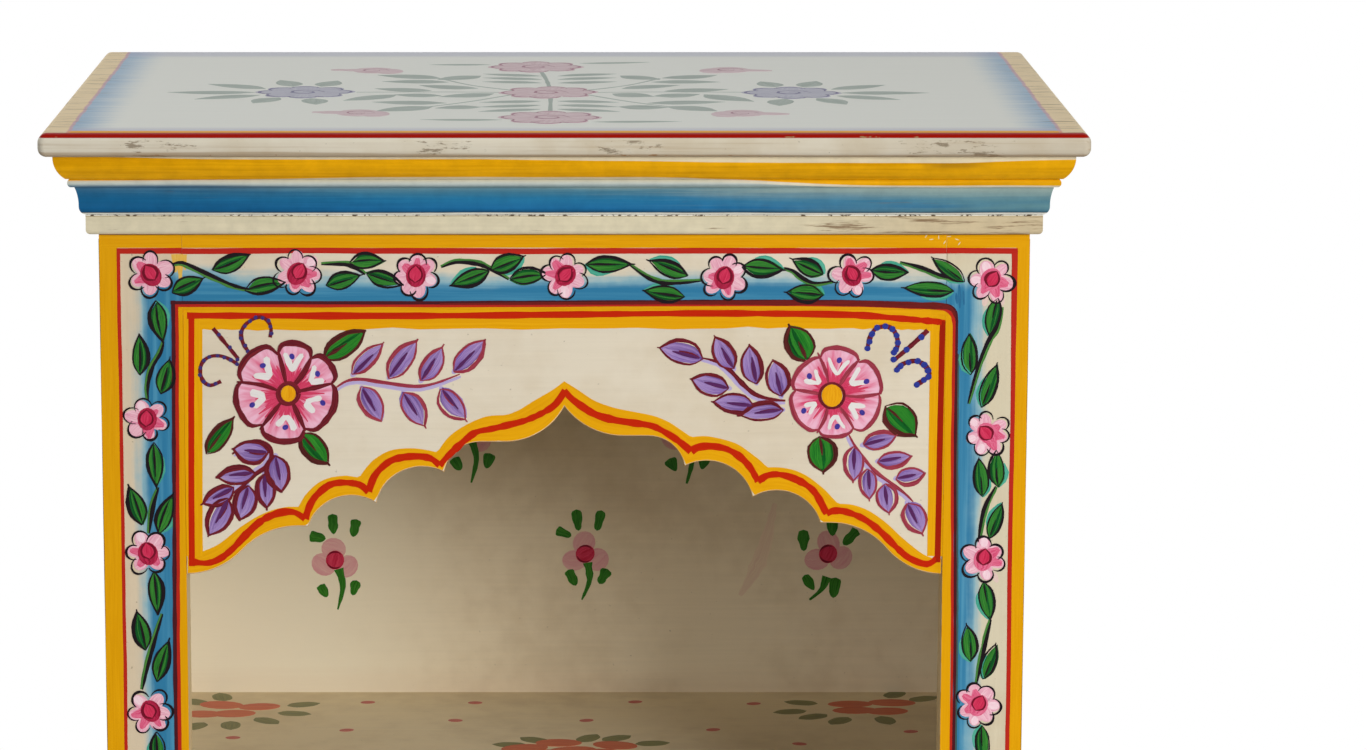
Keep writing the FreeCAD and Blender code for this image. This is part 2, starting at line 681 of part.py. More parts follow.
X_FLOOR = f"({X_PANEL_IN} - dims.floor_side_gap)"
Z_FLOOR_UNDER = f"({Z_FLOOR} - dims.niche_floor_thickness)"
floor_board = block(
    "niche_floor_board", (f"-{X_FLOOR}", X_FLOOR), (Y_FRAME, Y_PANEL_IN), (Z_FLOOR_UNDER, Z_FLOOR)
)
notches = [
    block(
        f"niche_floor_notch_{MIRROR[side]}",
        across(side, f"{X_POST} - dims.floor_side_gap", X_BODY),
        (f"{Y_POST} - dims.floor_side_gap", Y_BACK),
        (Z_FLOOR_UNDER, Z_FLOOR),
    )
    for side in (1, -1)
]
node(cut("niche_floor_cut", floor_board, *notches), "niche_floor")

# Strips that carry and guide the drawer

X_DRAWER = f"({X_OPEN} - dims.drawer_gap)"
X_DRAWER_SIDE = f"({X_DRAWER} - dims.drawer_side_inset)"
X_DRAWER_IN = f"({X_DRAWER_SIDE} - dims.drawer_side_thickness)"
Y_STOP = f"({Y_BACK_RAIL} - dims.drawer_stop_length)"
stops = []
for side in (1, -1):
    hand = MIRROR[side]
    strip_x = across(side, X_DRAWER_IN, X_SIDE_RAIL)
    strip_y = (Y_FRAME, Y_BACK_RAIL)
    node(
        block(f"kicker_{hand}_strip", strip_x, strip_y, (Z_MIDDLE, Z_FLOOR_UNDER)),
        f"kicker_{hand}",
    )
    node(
        block(
            f"drawer_runner_{hand}_strip",
            strip_x,
            strip_y,
            (f"{Z_DRAWER} - dims.runner_thickness", Z_DRAWER),
        ),
        f"drawer_runner_{hand}",
    )
    node(
        block(
            f"drawer_guide_{hand}_strip",
            across(side, X_DRAWER, X_SIDE_RAIL),
            strip_y,
            (Z_DRAWER, f"{Z_DRAWER} + dims.guide_height"),
        ),
        f"drawer_guide_{hand}",
    )
    stops.append(block(
        f"drawer_stop_{hand}",
        across(side, f"{X_DRAWER} - dims.stop_width", X_DRAWER),
        (Y_STOP, Y_BACK_RAIL),
        (Z_DRAWER, f"{Z_DRAWER} + dims.stop_height"),
    ))
stop_group = doc.addObject("Part::Compound", "drawer_stop_group")
stop_group.Links = stops
node(stop_group, "drawer_stops")

# Top board, rounded along its edges

top = new_body("top_board_body", z=Z_TOP)
TOP_X = "dims.top_width / 2"
TOP_Y = "dims.top_depth / 2"
ROUND = "dims.top_corner_radius"
top_sketch = outline(top, "top_plan", "XY_Plane", [
    (f"{ROUND} - {TOP_X}", f"-{TOP_Y}"),
    (f"{TOP_X} - {ROUND}", f"-{TOP_Y}", ROUND, 1),
    (TOP_X, f"{ROUND} - {TOP_Y}"),
    (TOP_X, f"{TOP_Y} - {ROUND}", ROUND, 1),
    (f"{TOP_X} - {ROUND}", TOP_Y),
    (f"{ROUND} - {TOP_X}", TOP_Y, ROUND, 1),
    (f"-{TOP_X}", f"{TOP_Y} - {ROUND}"),
    (f"-{TOP_X}", f"{ROUND} - {TOP_Y}", ROUND, 1),
])
top_pad = pad(top, "top_pad", top_sketch, "dims.top_thickness")
doc.recompute()
thick = number("dims.top_thickness")
upper = edges_where(top_pad.Shape, lambda e: abs(e.BoundBox.ZMin - thick) < NEAR)
top_fillet = rounded(top, "top_upper_fillet", top_pad, upper, "dims.top_upper_round")
doc.recompute()
lower = edges_where(top_fillet.Shape, lambda e: abs(e.BoundBox.ZMax) < NEAR)
rounded(top, "top_lower_fillet", top_fillet, lower, "dims.top_lower_round")

# Cleats under the top, and the screws that hold it

Z_CLEAT = f"({Z_TOP} - dims.cleat_height)"
CLEATS = (
    ("front", Y_FRAME, f"{Y_FRAME} + dims.cleat_width"),
    ("back", f"{Y_BACK_RAIL} - dims.cleat_width", Y_BACK_RAIL),
)
SCREW_HOLE = "dims.top_screw_radius + dims.screw_play"
screws = []
pilots = []
for place, low, high in CLEATS:
    cleat = block(
        f"top_cleat_{place}_strip",
        ("-dims.cleat_half_length", "dims.cleat_half_length"),
        (low, high),
        (Z_CLEAT, Z_TOP),
    )
    middle = f"({low} + {high}) / 2"
    holes = []
    for side in (1, -1):
        name = f"top_screw_{place}_{MIRROR[side]}"
        x = f"{side} * dims.top_screw_place"
        point = f"{Z_TOP} + dims.top_screw_bite"
        holes.append(rod(name + "_hole", x, middle, (Z_CLEAT, Z_TOP), SCREW_HOLE))
        pilot_end = f"{point} + dims.screw_play"
        pilots.append(rod(name + "_pilot", x, middle, (Z_TOP, pilot_end), SCREW_HOLE))
        shank = rod(name + "_shank", x, middle, (Z_CLEAT, point), "dims.top_screw_radius")
        head_z = (f"{Z_CLEAT} - dims.top_screw_head_height", Z_CLEAT)
        head = rod(name + "_head", x, middle, head_z, "dims.top_screw_head_radius")
        screws.append(joined(name, shank, head))
    node(cut(f"top_cleat_{place}_cut", cleat, *holes), f"top_cleat_{place}")
node(cut("top_board_cut", top, *pilots), "top_board")
screw_group = doc.addObject("Part::Compound", "top_screw_group")
screw_group.Links = screws
node(screw_group, "top_screws")

# Cornice: one moulded section, run along the front and both sides, mitred


def cornice_section(face, outward):
    """The moulding's section. face is the body's face, outward is 1 or -1 along u."""
    sign = "+" if outward > 0 else "-"

    def reach(expression):
        return f"{face} {sign} ({expression})"

    cove = "dims.cornice_fillet_height"
    bead = "(dims.cornice_fillet_height + dims.cove_height)"
    ovolo = f"({bead} + dims.bead_height)"
    bend = outward
    return [
        (face, "0"),
        (
            reach("dims.cornice_fillet_reach - dims.cornice_fillet_round"),
            "0",
            "dims.cornice_fillet_round",
            bend,
        ),
        (reach("dims.cornice_fillet_reach"), "dims.cornice_fillet_round"),
        (reach("dims.cornice_fillet_reach"), cove),
        (reach("dims.cove_foot_reach"), cove, "dims.cove_foot_radius", bend),
        (reach("dims.cove_reach"), f"{cove} + dims.cove_foot_rise", "dims.cove_radius", -bend),
        (reach("dims.cove_head_reach"), bead),
        (reach("dims.bead_back"), bead, "dims.bead_radius", bend),
        (reach("dims.bead_back"), ovolo),
        (reach("dims.ovolo_foot"), ovolo, "dims.ovolo_radius", bend),
        (reach("dims.ovolo_reach"), CORNICE_HEIGHT),
        (face, CORNICE_HEIGHT),
    ]


MITRE = "(dims.ovolo_reach + dims.end_gap)"
front = new_body("cornice_front_body", z=Z_CORNICE)
front_sketch = outline(front, "cornice_front_section", "YZ_Plane", cornice_section(Y_FRONT, -1))
front_run = pad(front, "cornice_front_run", front_sketch, f"2 * ({X_BODY} + {MITRE})", both_ways=True)
front_waste = outline(front, "cornice_front_mitre", "XY_Plane", [
    (X_BODY, Y_FRONT),
    (f"{X_BODY} + {MITRE}", f"{Y_FRONT} - {MITRE}"),
    (f"{X_BODY} + 2 * {MITRE}", f"{Y_FRONT} - {MITRE}"),
    (f"{X_BODY} + 2 * {MITRE}", f"{Y_FRONT} + {MITRE}"),
    (X_BODY, f"{Y_FRONT} + {MITRE}"),
])
front_cut = cut_upwards(front, "cornice_front_mitre_cut", front_waste)
mirrored(front, "cornice_front_mitres", [front_cut], "YZ_Plane")
node(front, "cornice_front")

for side in (1, -1):
    hand = MIRROR[side]
    face = f"{side} * {X_BODY}"
    away = "+" if side > 0 else "-"
    flank = new_body(f"cornice_{hand}_body", y=f"{Y_FRONT} - {MITRE}", z=Z_CORNICE)
    flank_sketch = outline(flank, f"cornice_{hand}_section", "XZ_Plane", cornice_section(face, side))
    flank_length = f"{Y_BACK} - {Y_FRONT} + {MITRE}"
    pad(flank, f"cornice_{hand}_run", flank_sketch, flank_length, backwards=True)
    flank_waste = outline(flank, f"cornice_{hand}_mitre", "XY_Plane", [
        (face, MITRE),
        (f"{face} {away} {MITRE}", "0"),
        (f"{face} {away} {MITRE}", f"-{MITRE}"),
        (face, f"-{MITRE}"),
    ])
    cut_upwards(flank, f"cornice_{hand}_mitre_cut", flank_waste)
    node(flank, f"cornice_{hand}")

# Drawer box

Z_SIDE = f"({Z_DRAWER} + dims.drawer_slide_gap)"
Z_SIDE_TOP = f"({Z_MIDDLE} - dims.drawer_side_drop)"
Z_BOTTOM = f"({Z_SIDE} + dims.drawer_bottom_rise)"
Z_BOTTOM_TOP = f"({Z_BOTTOM} + dims.drawer_bottom_thickness)"
Y_DRAWER_IN = f"({Y_FRONT} + dims.drawer_front_thickness)"
Y_LAP = f"({Y_DRAWER_IN} - dims.drawer_lap)"
Y_SIDE_END = f"({Y_STOP} - dims.drawer_stop_gap)"
Y_DRAWER_BACK_END = f"({Y_SIDE_END} - dims.drawer_back_inset)"
Y_DRAWER_BACK = f"({Y_DRAWER_BACK_END} - dims.drawer_side_thickness)"
X_GROOVE = f"({X_DRAWER_IN} + dims.drawer_groove)"
groove_z = (f"{Z_BOTTOM} - dims.joint_gap", f"{Z_BOTTOM_TOP} + dims.joint_gap")

front_board = new_body("drawer_front_body", y=Y_FRONT, z=f"{Z_DRAWER} + dims.drawer_gap")
DRAWER_FRONT_HEIGHT = "(dims.drawer_opening_height - 2 * dims.drawer_gap)"
front_face = outline(front_board, "drawer_front_face", "XZ_Plane", [
    (f"-{X_DRAWER}", "0"),
    (X_DRAWER, "0"),
    (X_DRAWER, DRAWER_FRONT_HEIGHT),
    (f"-{X_DRAWER}", DRAWER_FRONT_HEIGHT),
])
front_pad = pad(front_board, "drawer_front_pad", front_face, "dims.drawer_front_thickness", backwards=True)
doc.recompute()
face_edges = edges_where(front_pad.Shape, lambda e: abs(e.BoundBox.YMax) < NEAR)
bevelled(front_board, "drawer_front_bevel", front_pad, face_edges, "dims.drawer_front_round")
front_tools = [
    block(
        f"drawer_front_lap_{MIRROR[side]}",
        across(side, X_DRAWER_IN, f"{X_DRAWER} + dims.end_gap"),
        (Y_LAP, Y_DRAWER_IN),
        (Z_DRAWER, Z_MIDDLE),
    )
    for side in (1, -1)
]
front_tools.append(block(
    "drawer_front_groove",
    (f"-{X_DRAWER_IN}", X_DRAWER_IN),
    (f"{Y_DRAWER_IN} - dims.drawer_groove - dims.joint_gap", Y_DRAWER_IN),
    groove_z,
))
KNOB_Z = f"({Z_DRAWER} + dims.drawer_opening_height / 2)"
screw_hole = doc.addObject("Part::Cylinder", "drawer_front_screw_hole")
screw_hole.Placement = FreeCAD.Placement(
    FreeCAD.Vector(0, 0, 0), FreeCAD.Rotation(FreeCAD.Vector(1, 0, 0), -90)
)
screw_hole.setExpression("Placement.Base.y", Y_FRONT)
screw_hole.setExpression("Placement.Base.z", KNOB_Z)
screw_hole.setExpression("Height", "dims.drawer_front_thickness")
screw_hole.setExpression("Radius", "dims.knob_screw_radius + dims.screw_play")
front_tools.append(screw_hole)
node(cut("drawer_front_cut", front_board, *front_tools), "drawer_front")

for side in (1, -1):
    hand = MIRROR[side]
    board = block(
        f"drawer_side_{hand}_board",
        across(side, X_DRAWER_IN, X_DRAWER_SIDE),
        (Y_LAP, Y_SIDE_END),
        (Z_SIDE, Z_SIDE_TOP),
    )
    groove = block(
        f"drawer_side_{hand}_groove",
        across(side, X_DRAWER_IN, X_GROOVE),
        (Y_LAP, Y_SIDE_END),
        groove_z,
    )
    dado = block(
        f"drawer_side_{hand}_dado",
        across(side, X_DRAWER_IN, f"{X_DRAWER_IN} + dims.drawer_dado"),
        (Y_DRAWER_BACK, Y_DRAWER_BACK_END),
        (Z_BOTTOM_TOP, Z_SIDE_TOP),
    )
    node(cut(f"drawer_side_{hand}_cut", board, groove, dado), f"drawer_side_{hand}")

X_DADO = f"({X_DRAWER_IN} + dims.drawer_dado - dims.joint_gap)"
node(
    block(
        "drawer_back_board",
        (f"-{X_DADO}", X_DADO),
        (f"{Y_DRAWER_BACK} + dims.joint_gap", f"{Y_DRAWER_BACK_END} - dims.joint_gap"),
        (f"{Z_BOTTOM_TOP} + dims.joint_gap", f"{Z_SIDE_TOP} - dims.drawer_back_drop"),
    ),
    "drawer_back",
)
X_BOTTOM = f"({X_GROOVE} - dims.end_gap)"
bottom_board = block(
    "drawer_bottom_board",
    (f"-{X_BOTTOM}", X_BOTTOM),
    (f"{Y_DRAWER_IN}", Y_DRAWER_BACK_END),
    (Z_BOTTOM, Z_BOTTOM_TOP),
)
bottom_tongue = block(
    "drawer_bottom_tongue",
    (f"dims.end_gap - {X_DRAWER_IN}", f"{X_DRAWER_IN} - dims.end_gap"),
    (f"{Y_DRAWER_IN} - dims.drawer_groove", Y_DRAWER_BACK_END),
    (Z_BOTTOM, Z_BOTTOM_TOP),
)
node(joined("drawer_bottom_joined", bottom_board, bottom_tongue), "drawer_bottom")

# Turned knob and its screw

knob = new_body("drawer_knob_body", y=Y_FRONT, z=KNOB_Z)
BORE = "dims.knob_screw_radius + dims.screw_play"
knob_sketch = outline(knob, "drawer_knob_half", "XY_Plane", [
    (BORE, "0"),
    (BORE, "-dims.knob_bore_depth"),
    ("0", "-dims.knob_bore_depth"),
    ("0", "-dims.knob_length", "dims.knob_dome_radius", 1),
    ("dims.knob_head_radius", "-dims.knob_head_place", "dims.knob_under_radius", 1),
    ("dims.knob_neck_radius", "-dims.knob_neck_place", "dims.knob_hollow_radius", -1),
    ("dims.knob_base_radius", "-dims.knob_base_length"),
    ("dims.knob_base_radius", "0"),
])
turned(knob, "drawer_knob_turning", knob_sketch)
node(knob, "drawer_knob")

knob_screw = new_body("knob_screw_body", y=Y_FRONT, z=KNOB_Z)
knob_screw_sketch = outline(knob_screw, "knob_screw_half", "XY_Plane", [
    ("0", "-dims.knob_screw_bite"),
    ("dims.knob_screw_radius", "-dims.knob_screw_bite"),
    ("dims.knob_screw_radius", "dims.drawer_front_thickness"),
    ("dims.knob_screw_head_radius", "dims.drawer_front_thickness"),
    ("dims.knob_screw_head_radius", "dims.drawer_front_thickness + dims.knob_screw_head_height / 2"),
    ("dims.knob_screw_radius", "dims.drawer_front_thickness + dims.knob_screw_head_height"),
    ("0", "dims.drawer_front_thickness + dims.knob_screw_head_height"),
])
turned(knob_screw, "knob_screw_turning", knob_screw_sketch)
node(knob_screw, "knob_screw")

# Build, test and write

doc.recompute()
for item in doc.Objects:
    if "Invalid" in item.State or "Error" in item.State:
        raise RuntimeError(f"{item.Name} did not build: {item.State}")
os.makedirs("parts", exist_ok=True)
for piece in nodes:
    shape = piece.Shape
    if shape.isNull() or not shape.isValid() or not shape.Solids:
        raise RuntimeError(f"{piece.Label} has no valid solid")
    shape.exportStep(f"parts/{piece.Label}.step")
    box = shape.BoundBox
    print(
        f"{piece.Label}: {len(shape.Solids)} solid, {shape.Volume / 1000:.1f} cm3, "
        f"x {box.XMin:.1f}..{box.XMax:.1f} y {box.YMin:.1f}..{box.YMax:.1f} z {box.ZMin:.1f}..{box.ZMax:.1f}"
    )
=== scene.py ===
import math
import random
from functools import partial, reduce

import bmesh
import bpy
from mathutils import Matrix, Vector, noise
from mathutils.geometry import interpolate_bezier


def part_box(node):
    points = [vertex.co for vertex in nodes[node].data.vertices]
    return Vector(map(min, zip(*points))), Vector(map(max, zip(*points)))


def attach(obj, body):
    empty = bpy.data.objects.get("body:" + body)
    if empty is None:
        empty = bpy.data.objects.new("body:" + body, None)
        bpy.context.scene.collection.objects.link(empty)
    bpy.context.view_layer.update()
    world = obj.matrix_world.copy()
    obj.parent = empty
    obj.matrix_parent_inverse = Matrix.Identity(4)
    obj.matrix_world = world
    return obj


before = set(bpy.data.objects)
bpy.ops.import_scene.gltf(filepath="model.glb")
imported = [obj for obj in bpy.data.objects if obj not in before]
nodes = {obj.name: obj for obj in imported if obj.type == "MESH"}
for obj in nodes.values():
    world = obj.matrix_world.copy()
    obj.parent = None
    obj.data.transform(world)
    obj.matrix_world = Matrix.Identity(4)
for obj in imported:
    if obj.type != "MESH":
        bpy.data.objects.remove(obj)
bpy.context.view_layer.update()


# Face frame: two full-height stiles and three rails of hardwood, tenoned together
# flush, primed with a chalky cream and washed blue round each opening.
# The frame keeps its modelled shape and takes a brushed, edge-worn paint.
def tone(red, green, blue):
    linear = []
    for part in (red, green, blue):
        share = part / 255
        linear.append(share / 12.92 if share <= 0.04045 else ((share + 0.055) / 1.055) ** 2.4)
    return (*linear, 1.0)


def put(tree, kind, inputs=None, **options):
    node = tree.nodes.new("ShaderNode" + kind)
    for name, value in options.items():
        setattr(node, name, value)
    for socket, value in (inputs or {}).items():
        if isinstance(value, bpy.types.NodeSocket):
            tree.links.new(value, node.inputs[socket])
        else:
            node.inputs[socket].default_value = value
    return node


def reckon(operation, *terms):
    tree = next(term.id_data for term in terms if isinstance(term, bpy.types.NodeSocket))
    return put(tree, "Math", dict(enumerate(terms)), operation=operation).outputs[0]


plus = partial(reckon, "ADD")
minus = partial(reckon, "SUBTRACT")
scaled = partial(reckon, "MULTIPLY_ADD")
least = partial(reckon, "MINIMUM")
size_of = partial(reckon, "ABSOLUTE")


def times(*terms):
    return reduce(partial(reckon, "MULTIPLY"), terms)


def most(*terms):
    return reduce(partial(reckon, "MAXIMUM"), terms)


def ease(value, start, end):
    limits = {"Value": value, "From Min": start, "From Max": end}
    return put(value.id_data, "MapRange", limits, interpolation_type="SMOOTHSTEP").outputs[0]


def mingle(share, under, over):
    return put(share.id_data, "Mix", {0: share, 6: under, 7: over}, data_type="RGBA").outputs[2]


def lit(colour, lightness):
    return put(colour.id_data, "HueSaturation", {"Value": lightness, "Color": colour}).outputs[0]


def speckle(place, scale, detail=3.0, rough=0.55):
    parts = {"Vector": place, "Scale": scale, "Detail": detail, "Roughness": rough}
    return put(place.id_data, "TexNoise", parts).outputs[0]


def vector(operation, first, second):
    return put(first.id_data, "VectorMath", {0: first, 1: second}, operation=operation).outputs[0]


stretched = partial(vector, "MULTIPLY")


def here(tree):
    return put(tree, "TexCoord").outputs["Object"]


def parts_of(place):
    return put(place.id_data, "SeparateXYZ", {0: place}).outputs


def group_of(name, takes, gives):
    tree = bpy.data.node_groups.new(name, "ShaderNodeTree")
    for label, kind, value in takes:
        socket = tree.interface.new_socket(label, in_out="INPUT", socket_type="NodeSocket" + kind)
        socket.default_value = value
    for label, kind in gives:
        tree.interface.new_socket(label, in_out="OUTPUT", socket_type="NodeSocket" + kind)
    given = tree.nodes.new("NodeGroupInput").outputs
    made = tree.nodes.new("NodeGroupOutput").inputs
    return tree, given, made


def give(made, *sockets):
    for inlet, socket in zip(made, sockets):
        socket.id_data.links.new(socket, inlet)


CREAM = tone(216, 205, 184)
CREAM_STAIN = tone(196, 178, 148)
SOOT = tone(92, 76, 58)
BARE_WOOD = tone(150, 116, 80)
WASH_BLUE = tone(46, 116, 153)
WASH_STREAK = tone(76, 142, 173)
WASH_PALE = tone(134, 172, 182)

PAINT_OUTPUTS = [("Colour", "Color"), ("Roughness", "Float"), ("Height", "Float")]
BRUSHED_INPUTS = [("Ground", "Color", CREAM), ("Stain", "Color", CREAM_STAIN),
                  ("Stretch", "Vector", (1, 1, 1)), ("Age", "Float", 0.5)]
brushed_ground, given, made = group_of("brushed_ground", BRUSHED_INPUTS, PAINT_OUTPUTS)
place = here(brushed_ground)
streaks = speckle(stretched(place, given["Stretch"]), 1.0, 4.0)
clouds = speckle(place, 11.0, 4.0)
blots = speckle(place, 70.0)
flecks = speckle(place, 420.0, 2.0)
stained = ease(scaled(blots, 0.5, clouds), 0.62, 1.0)
colour = mingle(times(stained, given["Age"]), given["Ground"], given["Stain"])
colour = lit(colour, scaled(streaks, 0.12, 0.94))
colour = mingle(times(ease(flecks, 0.72, 0.8), given["Age"]), colour, SOOT)
give(made, colour, scaled(streaks, 0.3, 0.32), scaled(flecks, 0.25, streaks))

WEAR_INPUTS = [("Paint", "Color", CREAM), ("Wood", "Color", BARE_WOOD), ("Low", "Vector", (0, 0, 0)),
               ("High", "Vector", (1, 1, 1)), ("Width", "Float", 0.001)]
edge_wear, given, made = group_of("edge_wear", WEAR_INPUTS, PAINT_OUTPUTS[:1])
place = here(edge_wear)
above = vector("SUBTRACT", place, given["Low"])
below = vector("SUBTRACT", given["High"], place)
near = parts_of(vector("MINIMUM", above, below))
to_edge = most(least(near[0], near[1]), least(most(near[0], near[1]), near[2]))
ragged = ease(speckle(place, 130.0, 5.0, 0.65), 0.42, 0.74)
bare = ease(minus(times(ragged, given["Width"]), to_edge), 0.0, 0.0003)
give(made, mingle(bare, given["Paint"], given["Wood"]))

painted = set()
PAINT_SHINE = 0.07
BUMP_STRENGTH = 0.6


def start_paint(name):
    paint = bpy.data.materials.new(name)
    paint.use_nodes = True
    shader = paint.node_tree.nodes["Principled BSDF"]
    shader.inputs["Specular IOR Level"].default_value = PAINT_SHINE
    return paint, paint.node_tree, shader


def feed(shader, colour, rough, height, depth):
    tree = colour.id_data
    tree.links.new(colour, shader.inputs["Base Color"])
    tree.links.new(rough, shader.inputs["Roughness"])
    bump = put(tree, "Bump", {"Height": height, "Distance": depth, "Strength": BUMP_STRENGTH})
    tree.links.new(bump.outputs[0], shader.inputs["Normal"])


def cover(node, paint):
    nodes[node].data.materials.clear()
    nodes[node].data.materials.append(paint)
    painted.add(node)


BRUSH_DEPTH = 0.0002


def board_paint(node, stretch, age, wear, tint=None, ground=CREAM, stain=CREAM_STAIN):
    paint, tree, shader = start_paint(node + "_paint")
    looks = {"Ground": ground, "Stain": stain, "Stretch": stretch, "Age": age}
    base = put(tree, "Group", looks, node_tree=brushed_ground).outputs
    colour = tint(tree, base["Colour"], stretch) if tint else base["Colour"]
    low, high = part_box(node)
    looks = {"Paint": colour, "Wood": BARE_WOOD, "Low": low, "High": high, "Width": wear}
    edges = put(tree, "Group", looks, node_tree=edge_wear).outputs
    feed(shader, edges["Colour"], base["Roughness"], base["Height"], BRUSH_DEPTH)
    cover(node, paint)
    return tree, shader


WASH_HALF_WIDTH = 0.1905
LEFT_WASH_EXTRA = 0.0036
WASH_OPENINGS = ((0.2375, 0.5165), (0.0935, 0.2165))
WASH_FADE = (0.0165, 0.0029)
WASH_INNER_EDGE = (-0.0035, -0.0025)
FRONT_FACE = -0.149
ARCH_FOOT = 0.3856
REVEAL_EDGE = (0.18425, 0.1841)
REVEAL_SHADE_CREAM = tone(206, 182, 138)
REVEAL_YELLOW = tone(196, 134, 10)


def wash_over(tree, ground, strokes, gap, seen, wider=0.0):
    place = here(tree)
    streaks = speckle(stretched(place, strokes), 0.4, 4.0)
    ragged = speckle(place, 42.0, 4.0, 0.6)
    uneven = scaled(streaks, 0.009, scaled(ragged, 0.007, -0.008))
    spread = minus(plus(gap, uneven), wider)
    wash = times(ease(spread, *WASH_FADE), ease(gap, *WASH_INNER_EDGE), seen)
    blue = mingle(ease(streaks, 0.42, 0.68), WASH_BLUE, WASH_STREAK)
    thin = mingle(ease(wash, 0.0, 0.6), ground, WASH_PALE)
    return mingle(ease(wash, 0.4, 1.0), thin, blue)


def border_wash(tree, ground, strokes):
    spot = parts_of(here(tree))
    beside = minus(size_of(spot[0]), WASH_HALF_WIDTH)
    gaps = [most(minus(spot[2], high), minus(low, spot[2]), beside) for low, high in WASH_OPENINGS]
    front = ease(spot[1], FRONT_FACE + 0.002, FRONT_FACE + 0.0006)
    wider = times(ease(spot[0], -0.15, -0.17), LEFT_WASH_EXTRA)
    washed = wash_over(tree, ground, strokes, least(*gaps), front, wider)
    behind = ease(spot[1], FRONT_FACE + 0.0003, FRONT_FACE + 0.0008)
    # The stiles' inner faces in the niche take a darker, warmer cream: painted shade in the jambs. Above the
    # arch foot they take the yellow band's paint.
    warm = mingle(ease(spot[2], ARCH_FOOT, ARCH_FOOT + 0.001), REVEAL_SHADE_CREAM, REVEAL_YELLOW)
    return mingle(times(ease(size_of(spot[0]), *REVEAL_EDGE), behind), washed, warm)


UPRIGHT_STROKES = (520, 520, 14)
LEVEL_STROKES = (14, 520, 520)
STILE_GROUNDS = {"stile_left": tone(208, 190, 162), "stile_right": tone(206, 195, 168)}
for node, ground in STILE_GROUNDS.items():
    board_paint(node, UPRIGHT_STROKES, 0.55, 0.0016, border_wash, ground)
for node in ("rail_top", "rail_middle", "rail_bottom"):
    board_paint(node, LEVEL_STROKES, 0.55, 0.0012, border_wash)


# Ruled lines of the face frame: yellow, red and dark maroon gloss lines drawn
# with a long-haired brush along every edge and opening, a film of dry paint a
# hair above the ground coat, with the level straight ones broken at the joints.
MARK_INPUTS = [("First", "Color", CREAM), ("Last", "Color", CREAM), ("Grain", "Vector", (1.5, 5.0, 1.0)),
               ("Along", "Float", 0.0), ("Across", "Float", 0.0), ("Streaks", "Float", 0.5)]
brush_mark, given, made = group_of("brush_mark", MARK_INPUTS, PAINT_OUTPUTS)
marks = put(brush_mark, "Attribute", attribute_name="brush").outputs["Vector"]
track = parts_of(marks)
hairs = speckle(stretched(marks, given["Grain"]), 1.0, 3.0, 0.6)
lean = times(minus(track[0], 0.5), given["Along"])
tilt = scaled(track[1], given["Across"], lean)
share = plus(scaled(scaled(hairs, 3.0, -1.5), given["Streaks"], 0.5), tilt)
share = put(brush_mark, "Clamp", {0: share}).outputs[0]
give(made, mingle(share, given["First"], given["Last"]), scaled(hairs, 0.3, 0.2), hairs)

hand = random.Random(11)
pots = []


def paint_pot(name, first, last, streaks=0.5, grain=(1.5, 5.0), along=0.0, across=0.0):
    paint, tree, shader = start_paint(name)
    looks = {"First": tone(*first), "Last": tone(*last), "Grain": (*grain, 1.0), "Along": along,
             "Across": across, "Streaks": streaks}
    feed(shader, *put(tree, "Group", looks, node_tree=brush_mark).outputs, BRUSH_DEPTH / 2)
    pots.append(paint)
    return len(pots) - 1


MM = 0.001
COAT = 0.05
FILM_FOOT = -0.02
STROKE_LENGTH = 40.0
RULE_STEP = 7


def new_film():
    film = bmesh.new()
    film.verts.layers.float_vector.new("brush")
    return film


def lay(film, near_edge, far_edge, level, pot):
    marks = film.verts.layers.float_vector["brush"]
    count = len(near_edge) - 1
    reach = max(1.0, count * (near_edge[1] - near_edge[0]).length / STROKE_LENGTH)
    seed = hand.uniform(0, 40)
    height = (level + hand.uniform(0, 0.5)) * COAT
    for vert in bmesh.ops.create_grid(film, x_segments=count, y_segments=1, size=1)["verts"]:
        step = round((vert.co.x + 1) / 2 * count)
        side = vert.co.y
        spot = far_edge[step] if side > 0 else near_edge[step]
        vert.co = (spot.x, spot.y, height)
        vert[marks] = (step / count * reach, side, seed)
        for face in vert.link_faces:
            face.material_index = pot


def sideways(run):
    return Vector((-run.y, run.x)).normalized()


def ruled(film, start, end, width, level, pot, sway=0.3):
    start = Vector(start)
    run = Vector(end) - start
    steps = max(3, round(run.length / RULE_STEP))
    across = sideways(run)
    seed = hand.uniform(0, 90)
    edges = [], []
    for step in range(steps + 1):
        spot = start + run * step / steps
        drift = noise.noise((spot.x * 0.02, spot.y * 0.02, seed)) * sway
        for edge, side in zip(edges, (-1, 1)):
            swell = noise.noise((spot.x * 0.09, spot.y * 0.09, seed + 5 * side)) * sway
            edge.append(spot + across * (drift + side * (width + swell) / 2))
    lay(film, *edges, level, pot)


def upright(film, across, start, end, *looks):
    ruled(film, (across, start), (across, end), *looks)


def level_line(film, height, start, end, *looks):
    ruled(film, (start, height), (end, height), *looks)


def add_object(name, data):
    made = bpy.data.objects.new(name, data)
    bpy.context.scene.collection.objects.link(made)
    return made


def dry(film, name, stand, body):
    used = sorted({face.material_index for face in film.faces})
    for face in film.faces:
        face.material_index = used.index(face.material_index)
    under = bmesh.ops.extrude_face_region(film, geom=film.faces[:], use_keep_orig=True)["geom"]
    for part in under:
        if isinstance(part, bmesh.types.BMVert):
            part.co.z = FILM_FOOT
    bmesh.ops.recalc_face_normals(film, faces=film.faces[:])
    film.transform(stand @ Matrix.Scale(MM, 4))
    mesh = bpy.data.meshes.new(name)
    film.to_mesh(mesh)
    film.free()
    for pot in used:
        mesh.materials.append(pots[pot])
    piece = add_object(name, mesh)
    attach(piece, body)


def facing_front(face):
    return Matrix.Translation((0, face, 0)) @ Matrix.Rotation(math.pi / 2, 4, "X")


FINEST = 0.12


